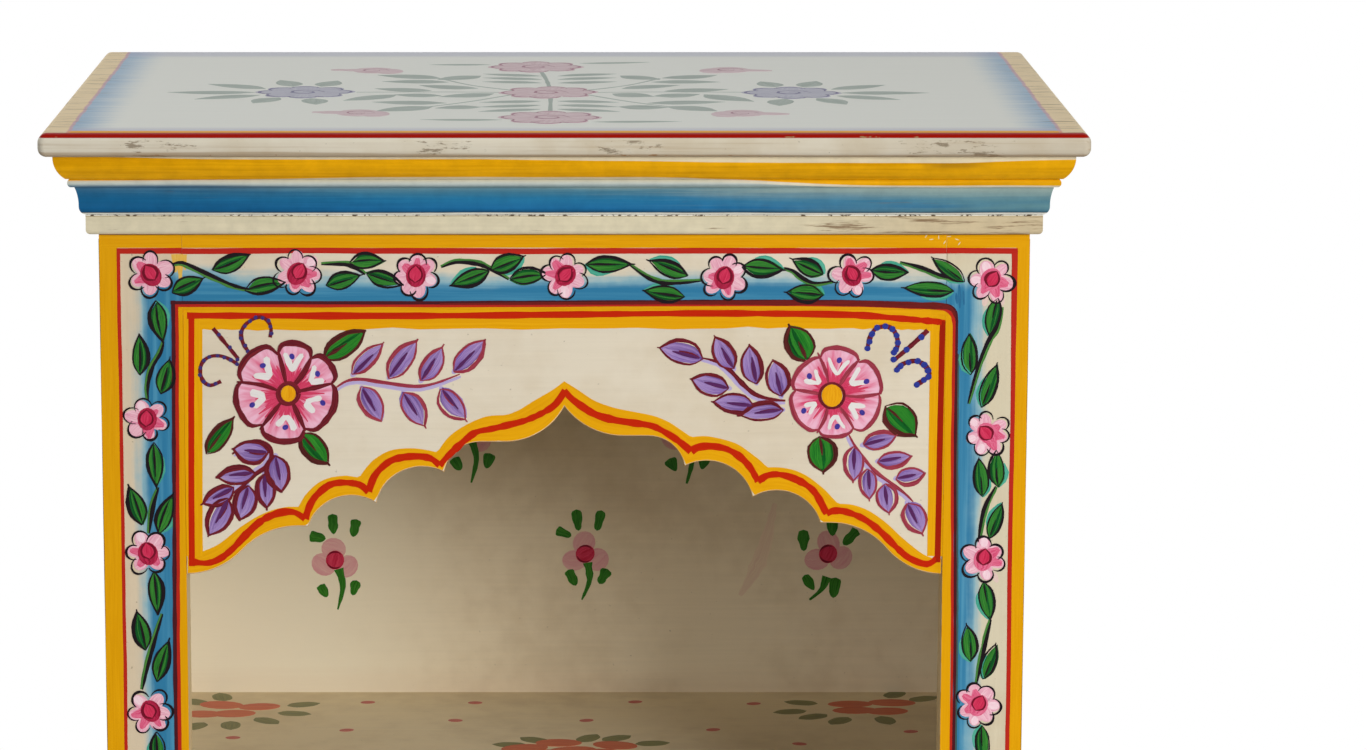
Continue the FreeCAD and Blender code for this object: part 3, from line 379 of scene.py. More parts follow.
def trace(points, steps=4):
    spots = [Vector(point) for point in points]
    last = len(spots) - 1
    line = [spots[0]]
    for index in range(last):
        start = spots[index]
        end = spots[index + 1]
        before = spots[max(index - 1, 0)]
        after = spots[min(index + 2, last)]
        bend = start + (end - before) / 6
        line += interpolate_bezier(start, bend, end - (after - start) / 6, end, steps + 1)[1:]
    return line


def pointing(angle):
    return Vector((math.cos(angle), math.sin(angle)))


def even(share):
    return 1.0


def swelling(share):
    return 0.3 + 0.7 * math.sin(math.pi * share)


def tapering(share):
    return 1.0 - 0.8 * share


def thinning(share):
    return 1.0 - 0.25 * min(max((share - 0.45) / 0.12, 0.0), 1.0)


def rounded(share):
    return math.sqrt(max(1 - (2 * share - 1) ** 4, 0))


def stroke(film, line, width, shape, level, pot, aside=0.0):
    last = len(line) - 1
    seed = hand.uniform(0, 90)
    edges = [], []
    for index, spot in enumerate(line):
        ahead = line[min(index + 1, last)] - line[max(index - 1, 0)]
        across = sideways(ahead)
        unsteady = 1 + 0.35 * noise.noise((spot.x * 0.3, spot.y * 0.3, seed))
        half = max(width * shape(index / last) * unsteady, FINEST) / 2
        edges[0].append(spot + across * (aside - half))
        edges[1].append(spot + across * (aside + half))
    lay(film, *edges, level, pot)


YELLOW = paint_pot("line_yellow", (208, 144, 0), (224, 162, 8), 0.5)
RED = paint_pot("line_red", (164, 28, 24), (188, 44, 26), 0.5)
DARK = paint_pot("line_dark", (48, 17, 25), (84, 24, 32), 0.7)

STILE_EDGE = 223.8
JOINT = 184.05
JOINT_GAP = 0.1
RAIL_SHADOW_LINE = 548.5
RAIL_YELLOW = 545.3
RAIL_RED = 540.4
FOOT_END = 3
APRON_REACH = 112
frame_lines = new_film()


def between_joints(start, end):
    return (start, -JOINT), (JOINT_GAP - JOINT, JOINT - JOINT_GAP), (JOINT, end)


def rule_across(start, end, height, width, level, pot, sway=0.3):
    for left, right in between_joints(start, end):
        level_line(frame_lines, height, left, right, width, level, pot, sway)


rule_across(-STILE_EDGE, STILE_EDGE, RAIL_YELLOW, 6.8, 1, YELLOW, 0.2)
rule_across(-215.4, 218.2, RAIL_RED, 2.8, 2, RED)
for side, outer_red, outer_width in ((-1, 214.6, 1.7), (1, 217.0, 2.1)):
    upright(frame_lines, side * outer_red, 540.5, FOOT_END, outer_width, 2, RED)
    inner = outer_red + 0.4
    edge = side * (inner + STILE_EDGE) / 2
    upright(frame_lines, edge, 542.2, FOOT_END, STILE_EDGE - inner, 1, YELLOW, 0.2)

NICHE_LOW = 239.5
NICHE_TOP = 515.2
upright(frame_lines, -185.1, NICHE_TOP - 2, NICHE_LOW + 2, 2.4, 1, YELLOW, 0.1)
ruled(frame_lines, (-186, 480), (-187, NICHE_LOW + 2), 2.2, 1, YELLOW, 0.1)
upright(frame_lines, 186.2, NICHE_TOP - 3, NICHE_LOW + 2, 4.2, 1, YELLOW, 0.1)
ruled(frame_lines, (187.2, 430), (188, NICHE_LOW + 2), 2.2, 1, YELLOW, 0.1)
level_line(frame_lines, NICHE_TOP - 2.5, JOINT_GAP - JOINT, JOINT - JOINT_GAP, 1.6, 1, YELLOW, 0.1)
RED_TURNS = [
    [(-188.3, NICHE_LOW), (-188.6, 318), (-188.4, 358), (-188, 398), (-187.7, 432), (-187.4, 467),
     (-187, 494), (-187, 513.8)],
    [(-187.6, 513.9), (-60, 513.8), (66, 514.4), (134, 514.2), (172, 512.9), (181.5, 512.4), (185.9, 510.6),
     (187.8, 506.4), (188.1, 498), (188.1, 440), (188.7, 400), (189.1, 368), (189.4, 340), (189.5, 290),
     (189.4, NICHE_LOW)],
]
for points, shape in zip(RED_TURNS, (even, thinning)):
    stroke(frame_lines, trace(points, 5), 1.9, shape, 2, RED)
DARK_TURNS = [
    [(-189.9, NICHE_LOW - 1), (-190.2, 318), (-190, 358), (-189.6, 398), (-189.3, 432), (-189, 467),
     (-188.6, 494), (-188.6, NICHE_TOP + 1)],
    [(-189.8, NICHE_TOP), (-60, 515.1), (0, 515.3), (66, 515.7), (134, 515.6), (172, 514.5), (183, 514),
     (187.6, 512), (189.2, 507.6), (189.4, 498), (189.5, 440), (190.1, 400), (190.5, 368), (190.8, 340),
     (190.8, 290), (190.6, NICHE_LOW - 1)],
]
for points, shape in zip(DARK_TURNS, (even, thinning)):
    stroke(frame_lines, trace(points, 5), 1.8, shape, 3, DARK)
DARK_TEAL = paint_pot("line_teal", (48, 74, 66), (66, 100, 100), 0.8)
TEAL_RUN = [(190.1, 490), (190.4, 440), (191, 400), (191.4, 368), (191.7, 340), (191.7, 290), (191.4, 260)]
stroke(frame_lines, trace(TEAL_RUN, 8), 1.3, even, 1, DARK_TEAL)
MADDER = paint_pot("line_madder", (84, 18, 20), (118, 30, 26), 0.7)
MADDER_RUN = [(-60, 514.5), (66, 515.1), (134, 514.9), (172, 513.8), (182.6, 513.4), (187, 511.6),
              (188.6, 508)]
stroke(frame_lines, trace(MADDER_RUN, 6), 3.0, swelling, 3.4, MADDER)
BRICK = paint_pot("line_brick", (144, 22, 2), (170, 34, 8), 0.6)
stroke(frame_lines, trace([(216.2, 540), (216.5, 470), (216.8, 400)], 8), 1.9, tapering, 2.2, RED)
# A thin umber line along the top of the rail just under the cornice: painted shadow of the cornice, with
# dirt.
SHADOW_UMBER = paint_pot("line_umber_shadow", (116, 78, 16), (160, 112, 30), 0.8)
rule_across(-STILE_EDGE, STILE_EDGE, RAIL_SHADOW_LINE, 0.6, 2, SHADOW_UMBER, 0.25)
CHIP = paint_pot("chip_cream", (226, 214, 186), (208, 184, 128), 0.8)
CHIPS = [(174, 547.6), (176.5, 546), (180, 547.1), (182.9, 544.6), (185, 547.4), (188.8, 546), (190, 544)]
for spot in CHIPS:
    along = pointing(hand.uniform(-0.5, 1.9))
    stroke(frame_lines, [Vector(spot) - along, Vector(spot), Vector(spot) + along], 0.6, swelling, 2, CHIP)

DRAWER_LOW = 95.5
DRAWER_TOP = 214.5
for side in (-1, 1):
    upright(frame_lines, side * 185.8, DRAWER_TOP - 2, DRAWER_LOW + 2, 3.4, 1, YELLOW, 0.15)
    upright(frame_lines, side * 188.4, DRAWER_TOP, DRAWER_LOW, 1.7, 2, RED)
    upright(frame_lines, side * 190, DRAWER_TOP + 1, DRAWER_LOW - 1, 1.7, 3, DARK)
for level, into in ((DRAWER_TOP, -1), (DRAWER_LOW, 1), (NICHE_LOW, 1)):
    for start, end in between_joints(-190, 190):
        level_line(frame_lines, level + into * 2.3, start, end, 1.7, 1, YELLOW)
        level_line(frame_lines, level + into * 1.1, start, end, 1.5, 2, RED)
        level_line(frame_lines, level, start, end, 1.8, 3, DARK)
level_line(frame_lines, 82.5, -APRON_REACH, APRON_REACH, 3.0, 1, YELLOW)
level_line(frame_lines, 85.2, -APRON_REACH, APRON_REACH, 1.4, 2, RED)
dry(frame_lines, "frame_lines", facing_front(FRONT_FACE), "cabinet")


# Flower vine of the face frame: pink blossoms, pointed leaves and curling
# stems painted freehand in gloss colours along the rails and stiles, each
# leaf with one bright half and a quick black outline.
INK = paint_pot("ink_black", (10, 8, 12), (30, 18, 24), 0.6)
LEAF_DARK = paint_pot("leaf_dark", (2, 42, 16), (14, 92, 38), 0.9)
LEAF_LIGHT = paint_pot("leaf_light", (12, 84, 30), (64, 138, 50), 0.9)
STEM_GREEN = paint_pot("stem_green", (26, 84, 36), (90, 146, 66), 0.7)
TEAL = paint_pot("under_teal", (34, 136, 116), (96, 178, 152), 0.7)
PINK = paint_pot("petal_pink", (212, 138, 162), (236, 196, 204), 0.9)
PETAL_PALE = paint_pot("petal_pale", (230, 184, 198), (238, 216, 219), 0.8)
FLUSH = paint_pot("petal_flush", (198, 52, 96), (224, 124, 152), 0.9)
CRIMSON = paint_pot("heart_crimson", (178, 22, 60), (212, 62, 96), 0.8)
HEART_DEEP = paint_pot("heart_deep", (122, 6, 36), (190, 44, 80), 0.9)
WINE = paint_pot("heart_wine", (84, 8, 28), (126, 18, 42), 0.5)
VINE_LEAF = (LEAF_DARK, LEAF_LIGHT, INK)
DAB_STEPS = 8


def jitter(reach):
    return Vector((hand.uniform(-reach, reach), hand.uniform(-reach, reach)))


def dab(film, middle, length, width, angle, level, pot):
    along = pointing(angle) * length / 2
    aside = Vector((-math.sin(angle), math.cos(angle))) * width / 2
    edges = [], []
    for step in range(DAB_STEPS + 1):
        turn = math.pi * step / DAB_STEPS
        spot = Vector(middle) - along * math.cos(turn)
        lift = aside * max(math.sin(turn), 0.05)
        edges[0].append(spot - lift)
        edges[1].append(spot + lift)
    lay(film, *edges, level, pot)


def leaf_sides(base, tip, width, bow=0.0, full=0.0):
    base = Vector(base)
    along = Vector(tip) - base
    aside = sideways(along) * width / 2
    sides = []
    for side in (-1, 1):
        low = base + along * (0.28 - 0.1 * full) + aside * (side * (0.86 + 0.04 * full) + bow)
        high = base + along * (0.64 + 0.14 * full) + aside * (side * (0.82 + 0.08 * full) + bow)
        sides.append(trace([base, low, high, base + along], 3))
    spine = [(near + far) / 2 for near, far in zip(*sides)]
    return sides, spine


def leaf(film, base, tip, width, colours, level=2, thick=1.0, full=0.0, covered=1.0):
    fill, light, line = colours
    sides, spine = leaf_sides(base, tip, width, hand.uniform(-0.15, 0.15), full)
    stray = jitter(0.6)
    filled = []
    for side in sides:
        filled.append([spot + stray + (edge - spot) * covered for spot, edge in zip(spine, side)])
    lay(film, *filled, level, fill)
    bright = hand.choice((0, 1))
    licks = ((bright, 0.5, 0.4), (bright, 0.24, 0.18), (1 - bright, 0.46, hand.uniform(0.04, 0.22)))
    for side, out, part in licks:
        lick = [spot + stray + (edge - spot) * out for spot, edge in zip(spine, sides[side])]
        stroke(film, lick[1:-1], width * part, swelling, level + 1, light)
    slip = jitter(0.5)
    beyond = (Vector(tip) - Vector(base)) * hand.uniform(0.02, 0.1)
    for side in (0, 1):
        width_here = thick * (hand.uniform(0.9, 1.2) if side == bright else hand.uniform(1.4, 2.0))
        edge = [spot + slip for spot in sides[side]]
        stroke(film, edge + [edge[-1] + beyond], width_here, swelling, level + 2, line)
    vein = spine[1:8] if full == 0 else spine[1:6]
    stroke(film, vein, hand.uniform(0.9, 1.4) * thick, swelling, level + 2, line)


def stem(film, points, level=2, width=2.5):
    line = trace(points, 4)
    stroke(film, line, width, swelling, level, STEM_GREEN)
    stroke(film, line, width * 0.76, swelling, level + 1, INK, width * hand.choice((-0.3, 0.3)))


def ring_part(middle, radius, start, sweep, steps):
    turns = [start + sweep * step / steps for step in range(steps + 1)]
    return [Vector(middle) + pointing(turn) * radius for turn in turns]


NOTCH_TURNS = {6: 94, 7: 80}


def blossom(film, middle, radius, level=3, under=HEART_DEEP):
    middle = Vector(middle)
    count = hand.choice((6, 6, 7))
    turn = hand.uniform(0, 6.28)
    slip = jitter(1.1)
    flush_side = hand.uniform(0, 6.28)
    for petal in range(count):
        angle = turn + 6.283 * (petal + hand.uniform(-0.13, 0.13)) / count
        toward = pointing(angle)
        broad = radius * hand.uniform(0.31, 0.4)
        spot = middle + toward * (radius * hand.uniform(0.94, 1.06) - broad)
        dab(film, spot + slip - toward * broad * 0.3, broad * 2.5, broad * 1.8, angle, level, PINK)
        if math.cos(angle - flush_side) > 0.2:
            far = middle + slip + toward * radius * hand.uniform(0.7, 0.86)
            blush = radius * hand.uniform(0.6, 0.9)
            stroke(film, trace([middle, far], 5), blush, tapering, level + 1, FLUSH)
        elif hand.random() < 0.4:
            dab(film, spot + slip + toward * broad * 0.2, broad * 1.3, broad, angle, level + 1, PETAL_PALE)
        before = NOTCH_TURNS[count] + hand.uniform(0, 24)
        after = NOTCH_TURNS[count] + hand.uniform(0, 24)
        rim = ring_part(spot, broad, angle - math.radians(before), math.radians(before + after), 12)
        longer = hand.uniform(-0.05, 0.22)
        oval = [point + toward * (point - spot).dot(toward) * longer for point in rim]
        stroke(film, oval, hand.uniform(0.85, 1.4), swelling, level + 2, INK)
    heart = radius * 0.4
    lean = hand.uniform(0.8, 2.3)
    core = middle + slip * 0.6
    dab(film, core - slip * 0.7, heart * 2.6, heart * 2.2, lean, level + 3, under)
    aim = pointing(lean) * heart
    sides = leaf_sides(core - aim * 0.75, core + aim * 1.15, heart * 1.55, 0.0, 0.2)[0]
    lay(film, *sides, level + 4, CRIMSON)
    for side in sides:
        stroke(film, side, hand.uniform(0.9, 1.5), swelling, level + 5, WINE)


RAIL_FLOWERS = [(-199, 528.8), (-128.5, 529.4), (-71.5, 528.4), (0.5, 528.5), (77, 527.4), (138.5, 528.5),
                (205.5, 526.5)]
STILE_FLOWERS = [(-202, 458), (-202.5, 391.5), (-202.5, 312.5), (205, 451), (204, 388.5), (202.5, 315.5)]
RAIL_LEAVES = [
    ((-189, 520.5), (-174, 527.5)), ((-169.5, 531), (-151.5, 538.5)), ((-153.5, 521.5), (-134, 525.5)),
    ((-114.5, 523), (-98, 528)), ((-103, 535), (-86.5, 535.8)), ((-95.5, 529.5), (-78, 524)),
    ((-36, 531), (-54.5, 524)), ((-35.5, 531), (-19.5, 537.4)), ((-26.5, 526.5), (-8.5, 529)),
    ((10, 534), (32, 534)), ((59.5, 528.5), (41, 536)), ((58, 518), (38.5, 521)),
    ((86, 533), (105.5, 531.5)), ((125, 529), (110, 536)), ((125, 519), (107.5, 520.5)),
    ((147.5, 531), (165.5, 530)), ((192.5, 525.5), (177, 537)), ((187.5, 520.5), (163.5, 522)),
]
STILE_LEAVES = [
    ((-197, 516), (-194, 496)), ((-205.5, 480), (-205.5, 500)), ((-195.5, 470.5), (-191, 487.5)),
    ((-199, 446.5), (-198, 424.5)), ((-205, 406), (-211, 425)), ((-197.5, 401.5), (-190.5, 421)),
    ((-200, 382.5), (-198.5, 361)), ((-204, 343), (-208, 362.5)), ((-199, 327.5), (-193, 348)),
    ((-200, 302), (-199.5, 282)), ((209, 517.5), (205, 499)), ((196.5, 480), (195.5, 500)),
    ((202, 464), (209, 485)), ((203, 419.5), (201, 438.5)), ((210.5, 424.5), (209.5, 442.5)),
    ((206.5, 399), (212.5, 416.5)), ((204, 377.5), (207.5, 358.5)), ((198.5, 337.5), (196.5, 355.5)),
    ((205, 328.5), (211, 346)), ((204.5, 305.5), (206, 285.5)),
]
VINE_STEMS = [
    [(-189.5, 532.5), (-184, 534), (-173, 529), (-158.5, 522.5), (-148, 520.5)],
    [(-117, 534.5), (-105.5, 534.5), (-100, 532.5), (-95.5, 529.5)],
    [(-59.5, 533), (-52.5, 535.5), (-43.5, 535), (-37, 533), (-26.5, 527)],
    [(32, 534), (39.5, 528.5), (47, 525.5), (56, 525.5), (66.5, 526.5)],
    [(105.5, 531.5), (110, 530), (114.5, 526.5), (120.5, 524), (129.5, 525)],
    [(161.5, 534.5), (172, 531.5), (180.5, 528), (189, 525.5)],
    [(-194, 496.5), (-195.5, 491), (-199.5, 484), (-202, 475), (-202, 467.5)],
    [(-197.5, 424.5), (-200.5, 414.5), (-202.5, 401.5)],
    [(-196.5, 361.5), (-200.5, 348.5), (-204.5, 334), (-207, 323.5)],
    [(211.5, 513), (209.5, 503), (205, 495.5), (200, 481.5), (196, 465.5)],
    [(210, 424.5), (204.5, 413), (202, 397)],
    [(207.5, 358.5), (204.5, 345), (201, 326.5)],
]
frame_vine = new_film()
for points in VINE_STEMS:
    stem(frame_vine, points)
for base, tip in RAIL_LEAVES + STILE_LEAVES:
    slim = base[0] > 150
    width = hand.uniform(6.4, 7.8) if slim else hand.uniform(7.4, 9.0)
    if base[0] > 30 or hand.random() < 0.4:
        sides = leaf_sides(base, tip, width)[0]
        half = hand.choice((slice(0, 7), slice(3, 10)))
        stroke(frame_vine, sides[hand.choice((0, 1))][half], hand.uniform(3.2, 4.6), swelling, 1, TEAL)
    thick, full = (0.75, 0.2) if slim else (1.0, 0.0)
    leaf(frame_vine, base, tip, width, VINE_LEAF, 2, thick, full)
for middle in RAIL_FLOWERS + STILE_FLOWERS:
    blossom(frame_vine, middle, hand.uniform(10.4, 11.2), 3, FLUSH if middle[0] > 150 else HEART_DEEP)
STAIN_GOLD = paint_pot("stain_gold", (212, 160, 44), (222, 186, 100), 0.9)
BLOT_BLUE = paint_pot("blot_blue", (26, 84, 128), (52, 118, 152), 0.9)
SPILL_PINK = paint_pot("spill_pink", (214, 182, 176), (218, 198, 182), 0.9)
GOLD_STAINS = ((-187.5, 538.8, 530, 3.8), (-185.2, 538.8, 525, 4.4), (-183, 538.6, 531, 3))
for across, high, low, width in GOLD_STAINS:
    stroke(frame_vine, trace([(across, high), (across + 0.4, low)], 6), width, tapering, 0.5, STAIN_GOLD)
BLUE_BLOTS = ((190.2, 524, 512.5, 1.7), (192.2, 521, 514, 1.2), (188.8, 520, 514.5, 1.3))
for across, high, low, width in BLUE_BLOTS:
    stroke(frame_vine, trace([(across, high), (across + 0.5, low)], 6), width, swelling, 0.5, BLOT_BLUE)
SPILLS = [
    [(203.5, 519), (202.8, 516), (202.4, 513.5)],
    [(209.5, 519), (211.5, 514)],
    [(208.5, 382), (211, 377)],
]
for points in SPILLS:
    stroke(frame_vine, trace(points, 6), 3.2, swelling, 0.5, SPILL_PINK)


def vine_run(film, start, end, flower=9.6, breadth=1.0):
    start = Vector(start)
    run = Vector(end) - start
    aside = sideways(run) * breadth

    def at(share, reach):
        return start + run * share + aside * reach

    stem(film, [at(0.5, 5), at(0.68, 1.5), at(0.87, 0)])
    leaf(film, at(0.17, 2.5), at(0.5, 4), 8.2 * breadth, VINE_LEAF)
    leaf(film, at(0.8, -2.5), at(0.5, -9), 7.8 * breadth, VINE_LEAF)
    leaf(film, at(0.86, 4.5), at(0.57, 11), 7.8 * breadth, VINE_LEAF)
    blossom(film, end, flower)


LOW_FLOWERS = (270, 206, 142, 78, 20)
STILE_VINE = 203
for across in (-STILE_VINE, STILE_VINE):
    for high, low in zip(LOW_FLOWERS, LOW_FLOWERS[1:]):
        vine_run(frame_vine, (across, high), (across, low))
    blossom(frame_vine, (across, LOW_FLOWERS[0]), 9.6)
RAIL_VINE = 227
for start in range(-186, 186, 62):
    vine_run(frame_vine, (start, RAIL_VINE), (start + 62, RAIL_VINE), 8.0, 0.8)
dry(frame_vine, "frame_vine", facing_front(FRONT_FACE), "cabinet")


# Arch panel: a thin board sawn to a cusped arch, held by tongues in the frame's
# grooves, cream with red and yellow edge bands, a great six-petalled flower and
# leafy sprays in each spandrel, all painted freehand.
PANEL_FACE = -0.1482
PANEL_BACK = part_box("arch_panel")[1].y
ARCH_CROWN = 0.4775
ARCH_REVEAL = tone(196, 136, 14)


def arch_edge(tree, ground, strokes):
    spot = parts_of(here(tree))
    behind = ease(spot[1], PANEL_FACE + 0.0001, PANEL_FACE + 0.0003)
    before = ease(spot[1], PANEL_BACK - 0.0004, PANEL_BACK - 0.0006)
    below = ease(spot[2], ARCH_CROWN, ARCH_CROWN - 0.001)
    return mingle(times(behind, before, below), ground, ARCH_REVEAL)


board_paint("arch_panel", LEVEL_STROKES, 0.4, 0.0, arch_edge)


def arch_points():
    points = set()
    for vert in nodes["arch_panel"].data.vertices:
        if abs(vert.co.y - PANEL_FACE) < 1e-5 and vert.co.z < 0.47 and abs(vert.co.x) < 0.1845:
            points.add((round(vert.co.x / MM, 2), round(vert.co.z / MM, 2)))
    return sorted(points)


def height_at(line, across):
    for start, end in zip(line, line[1:]):
        if start[0] <= across <= end[0]:
            share = (across - start[0]) / max(end[0] - start[0], 1e-6)
            return start[1] + (end[1] - start[1]) * share
    return line[0][1] if across < line[0][0] else line[-1][1]


BAND_TOP = [
    [(-181, 391), (-177, 392), (-168, 396), (-158, 404), (-149.5, 409.5), (-141.5, 413), (-134.5, 414.5)],
    [(-129, 414.5), (-126, 420), (-120, 426), (-113.5, 429), (-106, 430)],
    [(-99.5, 429), (-96, 434), (-91.5, 438.5), (-84, 442.5), (-74, 443.5), (-66, 442.5)],
    [(-61.5, 441.5), (-57, 448), (-51, 453), (-42.5, 457.5), (-36, 459.5), (-28, 460), (-21.5, 462.5)],
    [(-21.5, 462.5), (-14.5, 467), (-6, 472), (0, 476.5)],
    [(0, 476.5), (7, 472), (14.5, 467), (24, 463.5), (33.5, 461.5), (43, 459.5), (50.5, 456.5),
     (56.5, 452.5)],
    [(61.5, 449), (68.5, 449.5), (76.5, 448), (84, 445.5), (90.5, 441), (95, 437.5)],
    [(98.5, 434), (104.5, 434), (112, 432.5), (119, 429), (126.5, 423)],
    [(133, 416), (140, 415.5), (148, 412.5), (156.5, 406.5), (164.5, 399), (174.5, 391), (181, 388.5)],
]
BAND_LINE = [
    [(-180, 387), (-174, 386.5), (-168, 388.5), (-161.5, 393.5), (-155, 400.5), (-148, 407), (-141.5, 410.5),
     (-135.5, 412), (-130.5, 411.5), (-126, 408.5)],
    [(-126, 408.5), (-123, 416.5), (-119, 421.5), (-113.5, 425.5), (-107, 426.5), (-99.5, 425.5),
     (-95, 422)],
    [(-95, 422), (-92.5, 429), (-88.5, 434), (-82.5, 438), (-73, 439.5), (-65, 438.5), (-60.5, 435)],
    [(-60.5, 435), (-57, 439), (-52.5, 443.5), (-47.5, 448), (-42.5, 451.5), (-35.5, 453), (-27, 455),
     (-18, 457.5), (-9.5, 461.5), (-4, 465.5), (0.5, 472)],
    [(0, 472), (3.5, 468), (9.5, 463.5), (15.5, 460), (24, 457.5), (33.5, 456), (42.5, 454.5), (49.5, 451),
     (55.5, 447), (61.5, 442)],
    [(61.5, 442), (65, 444), (71.5, 444.5), (79, 443), (85.5, 439), (90.5, 433.5), (94, 427)],
    [(94, 427), (98.5, 430), (104.5, 430.5), (111.5, 428.5), (118, 425), (122.5, 420.5), (127.5, 411)],
    [(127.5, 411), (131, 412.5), (137, 412), (145.5, 408.5), (153.5, 402.5), (161.5, 394.5), (168, 389),
     (176.5, 386), (181.5, 389)],
]
PANEL_YELLOW = paint_pot("band_yellow", (214, 148, 4), (230, 168, 10), 0.6)
PANEL_RED = paint_pot("band_red", (176, 26, 0), (196, 40, 4), 0.5)
panel_bands = new_film()
upper = []
for part in BAND_TOP:
    upper += [tuple(spot) for spot in trace(part, 4)]
lower = arch_points()
near_edge = []
far_edge = []
BAND_STEPS = 230
BAND_START = -183.4
BAND_LENGTH = 366.8
for step in range(BAND_STEPS + 1):
    across = BAND_START + BAND_LENGTH * step / BAND_STEPS
    chip = 1.6 * max(noise.noise((across * 0.11, 3.0, 0.0)) - 0.42, 0)
    foot = height_at(lower, across) + 0.05 + chip
    near_edge.append(Vector((across, foot)))
    far_edge.append(Vector((across, max(height_at(upper, across), foot + 0.5))))
lay(panel_bands, near_edge, far_edge, 1, PANEL_YELLOW)
for part in BAND_LINE:
    stroke(panel_bands, trace(part, 4), 3.3, even, 3, PANEL_RED)
level_line(panel_bands, 510.6, -184, 184, 2.8, 1, PANEL_YELLOW, 0.05)
stroke(panel_bands, trace([(90, 510.4), (140, 509.4), (183.8, 508.8)], 8), 4.6, even, 1, PANEL_YELLOW)
LOW_TURN = [(-182, 504.8), (-148, 504.8), (-70, 505.4), (66, 505.9), (134, 505.7), (163, 505.3),
            (183, 504.6)]
stroke(panel_bands, trace(LOW_TURN, 8), 6.6, even, 1.4, PANEL_YELLOW)
TOP_TURN = [(-182, 508.7), (-70, 508.6), (0, 509.2), (66, 509.8), (134, 509.2), (163, 507.2), (183.7, 505.4)]
stroke(panel_bands, trace(TOP_TURN, 8), 3.1, even, 2.4, PANEL_RED)
for across, width in ((-179.9, 8.0), (178.8, 4.4), (182.5, 3.0)):
    upright(panel_bands, across, 511.5, 390, width, 1.2, PANEL_YELLOW, 0.05)
ruled(panel_bands, (-176, 511.5), (-177.3, 398), 2.8, 1.3, PANEL_YELLOW, 0.05)
ruled(panel_bands, (-180, 509.6), (-181.4, 385), 2.9, 2.5, PANEL_RED, 0.2)
ruled(panel_bands, (182.5, 506), (181.6, 387), 2.8, 2.5, BRICK, 0.1)

# Filler under the paint bridges the step from the panel up to the right stile
FILLER_START = 181.0
FILLER_SLOPE = 0.8 / 3.0
for vert in panel_bands.verts:
    vert.co.z += FILLER_SLOPE * max(vert.co.x - FILLER_START, 0.0)
dry(panel_bands, "panel_bands", facing_front(PANEL_FACE), "cabinet")

MAROON = paint_pot("outline_maroon", (62, 14, 24), (128, 34, 44), 0.9)
ROSEWOOD = paint_pot("outline_rosewood", (112, 22, 42), (172, 70, 84), 0.9)
PETAL = paint_pot("petal_rose", (230, 178, 198), (208, 60, 104), 0.8, (9.0, 0.5), 0.0, 0.42)
STREAK = paint_pot("petal_streak", (186, 20, 62), (216, 82, 116), 0.8)
CHALK = paint_pot("petal_white", (212, 206, 202), (230, 226, 222), 0.6)
VIOLET_DOT = paint_pot("dot_violet", (48, 30, 110), (76, 70, 164), 0.7)
HEART_YELLOW = paint_pot("heart_yellow", (214, 138, 6), (234, 172, 24), 0.7)
SPRAY_FILL = paint_pot("spray_lavender", (82, 52, 124), (156, 128, 180), 0.6, (1.5, 5.0), 0.8)
SPRAY_LIGHT = paint_pot("spray_light", (108, 76, 150), (172, 146, 194), 0.7, (1.5, 5.0), 0.6)
SPRAY_SHADE = paint_pot("spray_shade", (160, 142, 194), (190, 178, 208), 0.7)
PLUM = paint_pot("spray_plum", (60, 22, 66), (98, 46, 100), 0.7)
SCROLL_BLUE = paint_pot("scroll_blue", (28, 34, 110), (52, 66, 156), 0.7)
SCROLL_DUSK = paint_pot("scroll_dusk", (46, 30, 84), (70, 60, 128), 0.7)
PANEL_DARK = paint_pot("panel_leaf_dark", (2, 48, 14), (12, 98, 32), 0.9)
PANEL_LIGHT = paint_pot("panel_leaf_light", (8, 92, 24), (54, 136, 42), 0.9)
BARK = paint_pot("leaf_outline", (40, 12, 14), (96, 36, 32), 0.9)
PANEL_LEAF = (PANEL_DARK, PANEL_LIGHT, BARK)


def from_middle(middle, angle, reach):
    return Vector(middle) + pointing(math.radians(angle)) * reach


